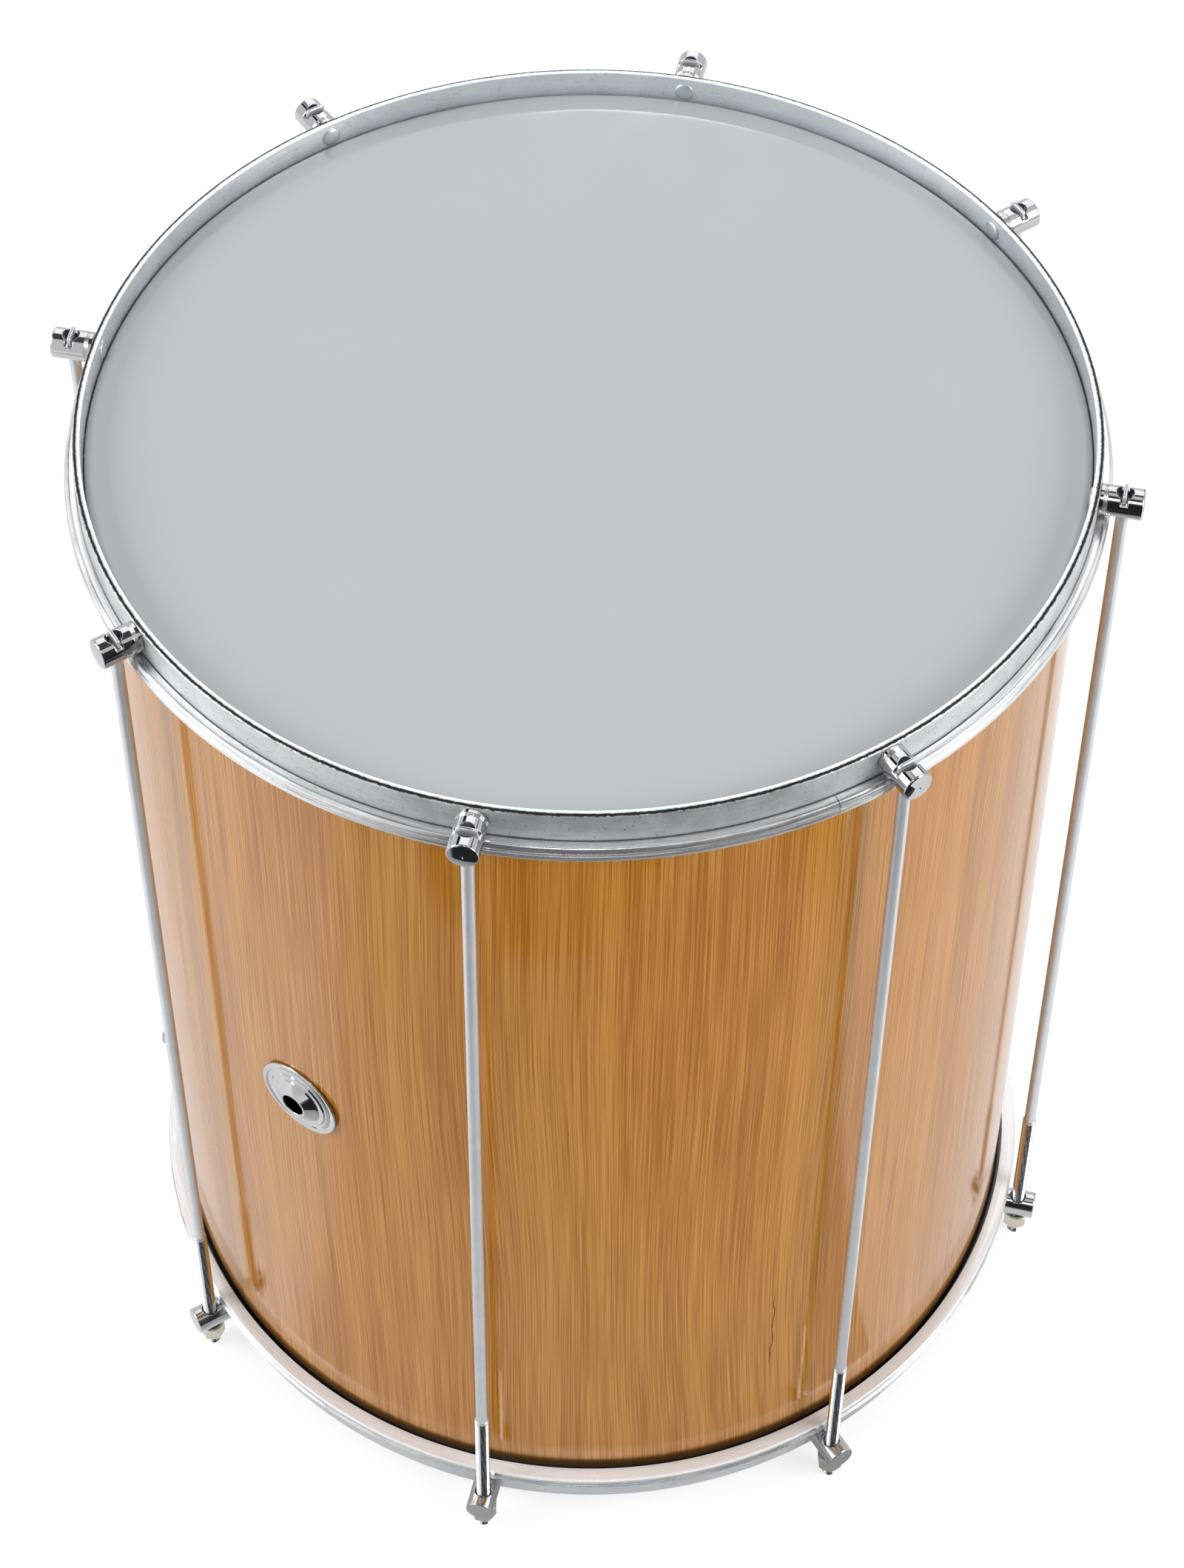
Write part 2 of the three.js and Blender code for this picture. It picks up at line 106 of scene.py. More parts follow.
POST_TIP = -POST_LOW.y
POST_ROOT = HOOP_OUTSIDE - 0.15 * MM
HOOK_HEIGHT = middle("hook_post_1").z
EYE_HEIGHT = middle("eye_post_1").z


# Settings


def length(name, default, description):
    """A length in metres that the user may change."""
    return bpy.props.FloatProperty(
        name=name, description=description, default=default, min=0, unit="LENGTH", precision=5
    )


def share(name, default, description):
    """A number from 0 to 1."""
    return bpy.props.FloatProperty(
        name=name, description=description, default=default, min=0, max=1, subtype="FACTOR"
    )


def angle(name, degrees, description):
    """An angle, given here in degrees."""
    return bpy.props.FloatProperty(
        name=name, description=description, default=math.radians(degrees), subtype="ANGLE"
    )


def colour(name, default, description):
    """A linear colour."""
    return bpy.props.FloatVectorProperty(
        name=name,
        description=description,
        default=(*default, 1),
        size=4,
        min=0,
        max=1,
        subtype="COLOR",
    )


class SurdoShellSettings(bpy.types.PropertyGroup):
    wall: length("Wall", 6 * MM, "Thickness of the wooden shell")
    bearing_round: length("Bearing edge", 3 * MM, "Rounding of the edge under the head")
    hole: length("Vent hole", 9.6 * MM, "Radius of the hole for the vent's neck")
    hole_blend: length("Hole blend", 20 * MM, "Distance over which the grid bends to the hole")
    light: colour("Light grain", (0.51, 0.236, 0.044), "Colour of the pale grain")
    dark: colour("Dark grain", (0.30, 0.102, 0.003), "Colour of the dark grain")
    pore: colour("Pores", (0.17, 0.052, 0.004), "Colour of the fine dark pores")
    gloss: share("Lacquer roughness", 0.1, "Roughness of the lacquer")
    crack_angle: angle("Crack", -54.4, "Where the hairline crack lies round the shell")
    crack_low: length("Crack foot", 0.115, "Height of the lower end of the crack")
    # Below this height the lacquered wood darkens to a painted shade: the shadow of the gap above
    # the lower flesh hoop and its reflection in the lacquer.
    foot: length("Foot", 0.059, "Height below which the wood is shaded dark")
    crack_high: length("Crack head", 0.218, "Height of the upper end of the crack")


class SurdoHeadSettings(bpy.types.PropertyGroup):
    film: length("Film", 0.35 * MM, "Thickness of the film")
    collar: length("Collar", 0.9 * MM, "Clearance between the shell and the film")
    flange_depth: length("Flange", 22.325 * MM, "Depth of the flange below the hoop's edge")
    droop: length("Droop", 0.35 * MM, "How far the film sinks towards the bearing edge")
    droop_width: length("Droop width", 16 * MM, "Width of the ring in which the film sinks")
    tint: colour("Film colour", (0.376, 0.40, 0.417), "Colour of the milky film")
    gloss: share("Film roughness", 0.05, "Roughness of the film")


class SurdoFleshHoopSettings(bpy.types.PropertyGroup):
    lip: length("Lip", 3.1 * MM, "Height of the lower lip")
    lip_inside: length("Lip rounding", 0.9 * MM, "Rounding of the lip next to the shell")
    low_lip: length("Lower ring's lip", 2.4 * MM, "How much higher the lower ring's lip is")
    low_inset: length("Lower ring's inset", 1.3 * MM, "How far both sides of that lip stand back")
    groove_depth: length("Groove depth", 0.7 * MM, "Depth of the grooves between the beads")
    groove: length("Groove width", 0.8 * MM, "Width of the groove above the lip")
    thin_bead: length("Thin bead", 0.6 * MM, "Width of the thin bead")
    bead: length("Round bead", 2.3 * MM, "Radius of the round bead")
    slot: length("Film slot", 1.8 * MM, "Height of the slot that holds the film")
    slot_reach: length("Slot reach", 5.8 * MM, "Depth of the slot that holds the film")
    slot_floor: length("Slot floor", 2.4 * MM, "Thickness of the wall beyond the slot")
    joint: length("Butt joint", 0.42 * MM, "Width of the joint where the ring's ends meet")
    joint_angle: angle("Joint angle", -51.8, "Where the upper ring's joint lies")
    tint: colour("Aluminium", (0.82, 0.83, 0.835), "Colour of the aluminium")


class SurdoHoopSettings(bpy.types.PropertyGroup):
    thickness: length("Thickness", 4 * MM, "Thickness of the steel bar")
    edge: length("Edge", 1.9 * MM, "Rounding of the bar's outer edges")
    inner_edge: length("Inner edge", 0.6 * MM, "Rounding of the bar's inner edges")
    gap: length("Gap", 0.3 * MM, "Clearance between rings that lie in each other")
    tint: colour("Zinc", (0.62, 0.65, 0.67), "Colour of the galvanised steel")


class SurdoPostSettings(bpy.types.PropertyGroup):
    dome: length("Dome", 0.9 * MM, "Height of the dome on an upper post's end")
    centre: length("Centre mark", 0.7 * MM, "Radius of the mark that the lathe left on the dome")
    edge: length("Edge", 0.9 * MM, "Rounding of a post's outer edge")
    crisp: length("Crisp edge", 0.35 * MM, "Rounding of the edges of holes and slots")
    groove: length("Groove", 0.22 * MM, "Depth of the turned grooves")
    groove_width: length("Groove width", 0.18 * MM, "Half width of a turned groove")
    groove_first: length("First groove", 2.2 * MM, "Distance of the first groove from the hoop")
    groove_step: length("Groove step", 0.75 * MM, "Distance between the grooves")
    hole: length("Hole", 4.35 * MM, "Radius of the hole in an upper post")
    slot: length("Slot", 1.9 * MM, "Half width of the slot in an upper post")
    slot_depth: length("Slot depth", 4.1 * MM, "Depth of the slot in an upper post")
    eye: length("Eye", 4.8 * MM, "Radius of the hole in a lower post")
    rivet: length("Rivet", 5.25 * MM, "Radius of the riveted head inside the hoop")
    rivet_height: length("Rivet height", 1.3 * MM, "Height of the riveted head")
    cell: length("Cell", 0.42 * MM, "Size of the cells that the surface is found on")
    tint: colour("Chrome", (0.55, 0.56, 0.575), "Colour of the chrome")


class SurdoRodSettings(bpy.types.PropertyGroup):
    shank: length("Shank", 3.25 * MM, "Radius of the shank")
    thread: length("Thread", 4 * MM, "Outer radius of the thread")
    thread_length: length("Thread length", 120 * MM, "Length of the thread")
    pitch: length("Pitch", 1.25 * MM, "Pitch of the thread")
    thread_depth: length("Thread depth", 0.6 * MM, "Depth of the thread")
    runout: length("Runout", 0.8 * MM, "Length of the thread's chamfers")
    neck: length("Neck", 4.5 * MM, "Length over which the shank is flattened")
    head: length("Head", 5.5 * MM, "Half width of the flattened head")
    head_thickness: length("Head thickness", 1.1 * MM, "Half thickness of the flattened head")
    head_stand: length("Head stand", 1 * MM, "How far the head stands out of its post")
    head_corner: length("Head corner", 2.2 * MM, "Rounding of the head's corners")
    tint: colour("Bright zinc", (0.62, 0.645, 0.665), "Colour of the rods")


class SurdoNutSettings(bpy.types.PropertyGroup):
    flats: length("Across flats", 13 * MM, "Width of the nut across its flats")
    height: length("Height", 9 * MM, "Height of the nut")
    bore: length("Bore", 4.15 * MM, "Radius of the nut's bore")
    washer: length("Washer", 7.5 * MM, "Radius of the washer")
    washer_bore: length("Washer bore", 4.3 * MM, "Radius of the washer's bore")
    washer_height: length("Washer height", 2.4 * MM, "Thickness of the washer")
    tint: colour("Nickel", (0.66, 0.60, 0.50), "Colour of the nickel plating")


class SurdoVentSettings(bpy.types.PropertyGroup):
    radius: length("Plate", 25 * MM, "Radius of the vent plate")
    rim: length("Rim", 1.1 * MM, "Thickness of the plate's rim")
    line: length("Turned line", 21.6 * MM, "Radius of the fine line turned in the rim")
    line_width: length("Line width", 0.15 * MM, "Half width and depth of that line")
    step: length("Step", 0.8 * MM, "Height of each of its two steps")
    outer_step: length("Outer step", 18.5 * MM, "Radius of the outer step")
    inner_step: length("Inner step", 15 * MM, "Radius of the inner step")
    crown: length("Crown", 3.4 * MM, "Height of the crown round the hole")
    mouth: length("Mouth", 8.2 * MM, "Radius of the crown's mouth")
    hole: length("Hole", 6.8 * MM, "Radius of the vent's hole")
    neck: length("Neck", 9 * MM, "Radius of the neck")
    ring: length("Ring nut", 13.5 * MM, "Radius of the ring nut")
    ring_height: length("Ring nut height", 3 * MM, "Thickness of the ring nut")


class SurdoStudioSettings(bpy.types.PropertyGroup):
    turn: angle("Turn", 12.09, "How far the camera stands to the right of the front")
    distance: length("Distance", 1.332, "Distance of the camera from the drum's axis")
    height: length("Height", 2.057, "Height of the camera above the floor")
    pitch: angle("Pitch", 49.285, "How far the camera looks down")
    yaw: angle("Yaw", 0.264, "How far the camera looks to the right of the axis")
    roll: angle("Roll", -0.086, "How far the camera is rolled")
    focal: bpy.props.FloatProperty(
        name="Focal length", description="In millimetres", default=87.38, subtype="DISTANCE_CAMERA"
    )
    principal_x: bpy.props.FloatProperty(
        name="Axis across", description="Where the lens axis meets the picture", default=812.06
    )
    principal_y: bpy.props.FloatProperty(
        name="Axis down", description="Where the lens axis meets the picture", default=839.22
    )


# Surfaces


def rounded(corners, steps=6):
    """A closed outline with rounded corners, each given as two places and a rounding.

    An arc that touches both sides takes the place of a corner. Its centre lies on the line
    that halves the corner, and its points turn evenly from the first touch to the second."""
    outline = []
    count = len(corners)
    for i, (x, y, rounding) in enumerate(corners):
        here = np.array((x, y))
        if rounding == 0:
            outline.append(here[None])
            continue
        before = np.array(corners[i - 1][:2]) - here
        after = np.array(corners[(i + 1) % count][:2]) - here
        before /= np.linalg.norm(before)
        after /= np.linalg.norm(after)
        half = math.acos(np.clip(before @ after, -1, 1)) / 2
        middle_line = (before + after) / np.linalg.norm(before + after)
        centre = here + middle_line * rounding / math.sin(half)
        start = here + before * rounding / math.tan(half) - centre
        end = here + after * rounding / math.tan(half) - centre
        sweep = math.pi - 2 * half
        part = np.linspace(0, 1, steps + 1)[:, None]
        arc = np.sin((1 - part) * sweep) * start + np.sin(part * sweep) * end
        outline.append(centre + arc / math.sin(sweep))
    return np.concatenate(outline)


def bar_outline(inner, outer, start, end, inner_round, outer_round, steps=6):
    """The section of a flat ring whose inner and outer edges are rounded."""
    corners = [(inner, start, inner_round), (outer, start, outer_round)]
    return rounded(corners + [(outer, end, outer_round), (inner, end, inner_round)], steps)


def arc_points(centre, radius, start, end, steps):
    """Points at even angles on an arc about a centre."""
    turned = np.linspace(start, end, steps + 1)
    return np.stack((centre[0] + radius * np.cos(turned), centre[1] + radius * np.sin(turned)), 1)


def grid_faces(rows, columns, close_rows, close_columns):
    """The four corners of each cell of a grid of points that is stored row by row."""
    row = np.arange(rows if close_rows else rows - 1)[:, None]
    column = np.arange(columns if close_columns else columns - 1)[None]
    next_row = (row + 1) % rows
    next_column = (column + 1) % columns
    cells = (
        row * columns + column,
        row * columns + next_column,
        next_row * columns + next_column,
        next_row * columns + column,
    )
    return np.stack([np.broadcast_to(c, (row.size, column.size)).ravel() for c in cells], 1)


def with_poles(points, faces):
    """Merges equal points, and turns the cells that lose a corner by it into triangles."""
    scale = 1e7
    _, first, same = np.unique(
        np.round(points * scale).astype(np.int64), axis=0, return_index=True, return_inverse=True
    )
    points = points[first]
    faces = same.reshape(-1)[faces]
    following = np.roll(faces, -1, 1)
    equal = faces == following
    whole = faces[~equal.any(1)]
    flat = faces[equal.sum(1) == 1]
    lost = equal[equal.sum(1) == 1].argmax(1)
    keep = (lost[:, None] + np.array((1, 2, 3))) % 4
    triangles = np.take_along_axis(flat, keep, 1)
    return points, [whole, triangles]


def volume(points, faces):
    """The volume inside a closed surface: a sum of cones from the origin to its faces."""
    total = 0.0
    for group in faces:
        corner = points[group[:, 0]]
        for k in range(1, group.shape[1] - 1):
            one = points[group[:, k]]
            two = points[group[:, k + 1]]
            total += np.einsum("ij,ij->i", corner, np.cross(one, two)).sum() / 6
    return total


def from_polar(radius, turned, height):
    """Points from their distance from the Z axis, the angle round it and their height."""
    place = np.broadcast_arrays(radius * np.cos(turned), radius * np.sin(turned), height)
    return np.stack(place, 2).reshape(-1, 3)


def revolved(outline, angles=None, sides=256):
    """A closed outline of radius and height, carried round the Z axis.

    Each point goes to radius times cosine, radius times sine, and its height. With angles
    given, the ring is open and has an end face at the first and at the last of them."""
    whole_ring = angles is None
    if whole_ring:
        angles = np.arange(sides) / sides * TURN
    points = from_polar(outline[:, :1], angles, outline[:, 1:])
    faces = grid_faces(len(outline), len(angles), True, whole_ring)
    if whole_ring:
        return with_poles(points, faces)
    first = np.arange(len(outline))[None] * len(angles)
    return points, [faces, first[:, ::-1], first + len(angles) - 1]


def moved(points, matrix, origin):
    """The points turned by a matrix of three columns and moved to an origin."""
    return points @ np.asarray(matrix).T + np.asarray(origin)


def about_z(turned):
    """The matrix that turns by an angle about Z."""
    cos, sin = math.cos(turned), math.sin(turned)
    return np.array(((cos, -sin, 0), (sin, cos, 0), (0, 0, 1)))


def smoothstep(part):
    """A share from 0 to 1 with an even start and end: three squares less two cubes."""
    return part * part * (3 - 2 * part)


def smooth_max(a, b, rounding):
    """The larger of two fields, with a rounding where they are nearly equal.

    A parabola of that width joins the two, so that the edge between two faces is filleted."""
    near = np.maximum(rounding - np.abs(a - b), 0) / rounding
    return np.maximum(a, b) + near * near * rounding / 4


def gradient(field, points):
    """The field's slope along each axis, from values a little to either side."""
    small = 1e-7
    slopes = [field(points + small * a) - field(points - small * a) for a in np.eye(3)]
    return np.stack(slopes, -1) / (2 * small)


def solid_surface(field, xs, ys, zs):
    """The surface where a field of distance is zero, found on a grid of cells.

    A cell that the surface crosses has one point, at the mean of the crossings on its edges.
    Each grid line with a crossing gives a face between the four cells round it. Each point
    then slides along the field's slope until it lies on the surface."""
    places = (xs, ys, zs)
    grid = np.stack(np.meshgrid(xs, ys, zs, indexing="ij"), -1)
    value = field(grid)
    inside = value < 0
    cells = tuple(n - 1 for n in value.shape)
    total = np.zeros((*cells, 3))
    count = np.zeros(cells)
    crossings = []
    for axis in range(3):
        low = [slice(None)] * 3
        high = [slice(None)] * 3
        low[axis] = slice(None, -1)
        high[axis] = slice(1, None)
        low, high = tuple(low), tuple(high)
        crossed = inside[low] != inside[high]
        part = value[low] / np.where(crossed, value[low] - value[high], 1)
        point = grid[low] + np.where(crossed, part, 0)[..., None] * (grid[high] - grid[low])
        point *= crossed[..., None]
        others = [a for a in range(3) if a != axis]
        for first in (0, 1):
            for second in (0, 1):
                near = [slice(None)] * 3
                near[others[0]] = slice(first, cells[others[0]] + first)
                near[others[1]] = slice(second, cells[others[1]] + second)
                total += point[tuple(near)]
                count += crossed[tuple(near)]
        crossings.append(crossed)
    used = count > 0
    number = np.full(cells, -1)
    number[used] = np.arange(used.sum())
    points = total[used] / count[used][:, None]
    faces = []
    for axis in range(3):
        one = (axis + 1) % 3
        two = (axis + 2) % 3
        at = np.argwhere(crossings[axis])
        within = (at[:, one] > 0) & (at[:, one] < len(places[one]) - 1)
        within &= (at[:, two] > 0) & (at[:, two] < len(places[two]) - 1)
        at = at[within]
        corners = []
        for back_one, back_two in ((1, 1), (0, 1), (0, 0), (1, 0)):
            cell = at.copy()
            cell[:, one] -= back_one
            cell[:, two] -= back_two
            corners.append(number[cell[:, 0], cell[:, 1], cell[:, 2]])
        quads = np.stack(corners, 1)
        leaving = inside[at[:, 0], at[:, 1], at[:, 2]]
        faces.append(np.where(leaving[:, None], quads, quads[:, ::-1]))
    rounds, least_steep = 4, 0.05
    for _ in range(rounds):
        slope = gradient(field, points)
        steep = np.maximum((slope * slope).sum(-1), least_steep)
        points = points - (field(points) / steep)[:, None] * slope
    slope = gradient(field, points)
    normals = slope / np.linalg.norm(slope, axis=1)[:, None]
    return points, [np.concatenate(faces)], normals


def lines(low, high, cell):
    """Evenly spaced places from low to high, about a cell apart."""
    return np.linspace(low, high, max(2, round((high - low) / cell) + 1))


def add_piece(name, surface, materials, body, nodes, normals=None, sharp=30, choose=None):
    """Makes an object of a closed surface, with its faces outwards, and ties it to the frame.

    Choose gives the number of each face's material from the centres of the faces."""
    points, faces = surface
    faces = [group for group in faces if len(group)]
    if volume(points, faces) < 0:
        faces = [group[:, ::-1] for group in faces]
    corners = np.concatenate([group.ravel() for group in faces])
    sizes = np.concatenate([np.full(len(group), group.shape[1]) for group in faces])
    starts = np.concatenate(((0,), np.cumsum(sizes)[:-1]))
    mesh = bpy.data.meshes.new(name)
    mesh.vertices.add(len(points))
    mesh.vertices.foreach_set("co", points.astype(np.float32).ravel())
    mesh.loops.add(len(corners))
    mesh.loops.foreach_set("vertex_index", corners.astype(np.int32))
    mesh.polygons.add(len(sizes))
    mesh.polygons.foreach_set("loop_start", starts.astype(np.int32))
    mesh.polygons.foreach_set("use_smooth", np.ones(len(sizes), bool))
    mesh.update(calc_edges=True)
    for material in materials:
        mesh.materials.append(material)
    if choose is not None:
        centres = np.concatenate([points[group].mean(1) for group in faces])
        mesh.polygons.foreach_set("material_index", choose(centres).astype(np.int32))
    if normals is None:
        mesh.set_sharp_from_angle(angle=math.radians(sharp))
    else:
        mesh.normals_split_custom_set_from_vertices(normals.astype(np.float32))
    piece = bpy.data.objects.new(name, mesh)
    bpy.context.scene.collection.objects.link(piece)
    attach(piece, body)
    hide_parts(*nodes)
    return piece


# Stations of the rods


def nut_axis(number):
    """A point on a rod's axis and the direction up it, from the joint that its nut turns on."""
    turning = next(j for j in frame["joints"] if j["name"] == f"nut_{number}_turn")
    up = -np.array(turning["axis"])
    return np.array(turning["pos_m"]), up / np.linalg.norm(up)


def on_axis(number, height):
    """The point at which a rod's axis passes a height."""
    nut, up = nut_axis(number)
    return nut + up * (height - nut[2]) / up[2]


def rod_place(number, slot_depth):
    """Where a rod's axis meets the floor of its slot, and the axes outwards, across and up it."""
    up = nut_axis(number)[1]
    foot = on_axis(number, HOOK_HEIGHT + POST_RADIUS - slot_depth)
    outward = np.array((foot[0], foot[1], 0)) / math.hypot(foot[0], foot[1])
    outward -= (outward @ up) * up
    outward /= np.linalg.norm(outward)
    return foot, np.stack((outward, np.cross(up, outward), up), 1)


# Shader nodes


def feed(tree, socket, value):
    """Gives an input a plain value, or links it to the output that feeds it."""
    value = getattr(value, "output", value)
    if isinstance(value, bpy.types.NodeSocket):
        tree.links.new(value, socket)
    else:
        socket.default_value = value


def node(tree, kind, inputs=None, **settings):
    """Adds a shader node. Each input is a plain value or the output that feeds it."""
    made = tree.nodes.new(kind)
    made.location = (190 * len(tree.nodes), 0)
    for name, value in settings.items():
        setattr(made, name, value)
    for key, value in (inputs or {}).items():
        feed(tree, made.inputs[key], value)
    return made


def maths(tree, operation, one, two=0.0, clamp=False):
    """One step of arithmetic."""
    made = node(tree, "ShaderNodeMath", {0: one, 1: two}, operation=operation, use_clamp=clamp)
    return Value(tree, made.outputs[0])


def step(operation):
    """A method of a value that takes one step of arithmetic."""
    return lambda one, two=0.0: maths(one.tree, operation, one, two)


class Value:
    """A node's output. Arithmetic on it adds nodes to its tree."""

    def __init__(self, tree, output):
        self.tree = tree
        self.output = output

    __add__ = step("ADD")
    __sub__ = step("SUBTRACT")
    __mul__ = step("MULTIPLY")
    __truediv__ = step("DIVIDE")
    __pow__ = step("POWER")
    __lt__ = step("LESS_THAN")
    __gt__ = step("GREATER_THAN")
    __abs__ = step("ABSOLUTE")
    root = step("SQRT")
    larger = step("MAXIMUM")
    arctan2 = step("ARCTAN2")

    def between(self, low, high, to_low=0.0, to_high=1.0):
        """The value carried from one range to another and kept inside it."""
        inputs = {"Value": self, "From Min": low, "From Max": high}
        inputs.update({"To Min": to_low, "To Max": to_high})
        made = node(self.tree, "ShaderNodeMapRange", inputs, interpolation_type="SMOOTHSTEP")
        return Value(self.tree, made.outputs["Result"])


def mixed(factor, one, two):
    """A mix of two colours."""
    made = node(factor.tree, "ShaderNodeMix", {0: factor, 6: one, 7: two}, data_type="RGBA")
    return Value(factor.tree, made.outputs[2])


def noise(position, scale, detail=3.0, roughness=0.55):
    """Fractal noise about 0.5."""
    inputs = {"Vector": position, "Scale": scale, "Detail": detail, "Roughness": roughness}
    return Value(position.tree, node(position.tree, "ShaderNodeTexNoise", inputs).outputs["Fac"])


def object_position(tree):
    """Object coordinates, which are metres in the drum's frame."""
    return Value(tree, node(tree, "ShaderNodeTexCoord").outputs["Object"])


def stretched(position, scale):
    """A position with each of its parts times its own factor."""
    made = node(position.tree, "ShaderNodeMapping", {"Vector": position, "Scale": scale})
    return Value(position.tree, made.outputs[0])


def split(position):
    """The three parts of a position."""
    made = node(position.tree, "ShaderNodeSeparateXYZ", {0: position})
    return [Value(position.tree, output) for output in made.outputs]


def combined(x, y, z):
    """A position made of three parts, of which the first is a value."""
    return Value(x.tree, node(x.tree, "ShaderNodeCombineXYZ", {0: x, 1: y, 2: z}).outputs[0])


def from_axis(x, y):
    """The distance from the drum's axis: the root of the sum of two squares."""
    return (x**2 + y**2).root()


def bumped(height, strength, distance):
    """A normal bent by a height that is given in units of a distance."""
    inputs = {"Height": height, "Strength": strength, "Distance": distance}
    return Value(height.tree, node(height.tree, "ShaderNodeBump", inputs).outputs["Normal"])


def tinted(tint, factor):
    """A colour times a factor, or times one for each of its parts, and kept within 1."""
    return (*np.minimum(np.array(tint[:3]) * factor, 1), 1)


def empty_material(name):
    """A material without nodes, and its tree."""
    made = bpy.data.materials.new(name)
    made.use_nodes = True
    made.node_tree.nodes.clear()
    return made, made.node_tree


def new_material(name, shader_values):
    """A material, its one principled shader, and the object position in its tree."""
    made, tree = empty_material(name)
    shader = node(tree, "ShaderNodeBsdfPrincipled", shader_values)
    node(tree, "ShaderNodeOutputMaterial", {"Surface": shader.outputs[0]})
    return made, shader, object_position(tree)


def connect(shader, inputs):
    """Links values to the inputs of a shader."""
    for key, value in inputs.items():
        feed(value.tree, shader.inputs[key], value)


def new_group(name, inputs, outputs, build):
    """A node group. Build makes the list of its outputs from its inputs."""
    tree = bpy.data.node_groups.new(name, "ShaderNodeTree")
    for label, default in inputs.items():
        kind = "NodeSocketFloat" if isinstance(default, float) else "NodeSocketVector"
        socket = tree.interface.new_socket(name=label, in_out="INPUT", socket_type=kind)
        socket.default_value = default
    for label in outputs:
        tree.interface.new_socket(name=label, in_out="OUTPUT", socket_type="NodeSocketFloat")
    entry = tree.nodes.new("NodeGroupInput")
    leave = tree.nodes.new("NodeGroupOutput")
    made = build(*[Value(tree, entry.outputs[label]) for label in inputs])
    for label, value in zip(outputs, made):
        feed(tree, leave.inputs[label], value)
    return tree


def grouped(name, inputs, outputs):
    """Turns a function of values into a node group, made at its first use and then shared."""

    def wrap(build):
        def use(position, *values):
            group = bpy.data.node_groups.get(name) or new_group(name, inputs, outputs, build)
            given = dict(zip(inputs, (position, *values)))
            made = node(position.tree, "ShaderNodeGroup", given, node_tree=group)
            return [Value(position.tree, made.outputs[label]) for label in outputs]

        return use

    return wrap


ORIGIN = (0.0, 0.0, 0.0)


@grouped("Rolled streaks", {"Position": ORIGIN, "Length": 0.05, "Width": 0.0005}, ["Streaks"])
def rolled_streaks(position, long, wide):
    """Streaks that run round the drum, as rolling and drawing leave them on a ring.

    The noise is long along X and Y and short across the ring. Across is the height plus the
    distance from the axis, so it changes on a ring's sides and on its flat faces alike."""
    x, y, z = split(position)
    return [noise(combined(x / long, y / long, (z + from_axis(x, y)) / wide), 1, 2)]


@grouped(
    "Sparse pits", {"Position": ORIGIN, "Spacing": 0.004, "Size": 0.1, "Share": 0.3}, ["Pits"]
)
def sparse_pits(position, spacing, size, part):
    """Small round pits strewn at random: near the seed of a cell, in a share of the cells."""
    tree = position.tree
    dense = maths(tree, "DIVIDE", 1, spacing)
    scatter = node(tree, "ShaderNodeTexVoronoi", {"Vector": position, "Scale": dense}).outputs
    distance = Value(tree, scatter["Distance"]) + noise(position, 900, 2) * 0.1
    luck = node(tree, "ShaderNodeSeparateColor", {0: scatter["Color"]}).outputs[0]
    return [distance.between(size + 0.08, size) * (Value(tree, luck) < part)]


@grouped(
    "Handled metal",
    {"Position": ORIGIN, "Cloud size": 0.01, "Smooth": 0.05, "Dull": 0.15},
    ["Roughness", "Scratches"],
)
def handled_metal(position, cloud_size, smooth, dull):
    """How plating is dulled by handling: clouds of haze and faint fine scratches."""
    haze = noise(position, maths(position.tree, "DIVIDE", 1, cloud_size), 4).between(0.35, 0.75)
    scratches = noise(stretched(position, (900, 900, 5000)), 1, 2)
    return [smooth + (dull - smooth) * haze, scratches]


# Materials


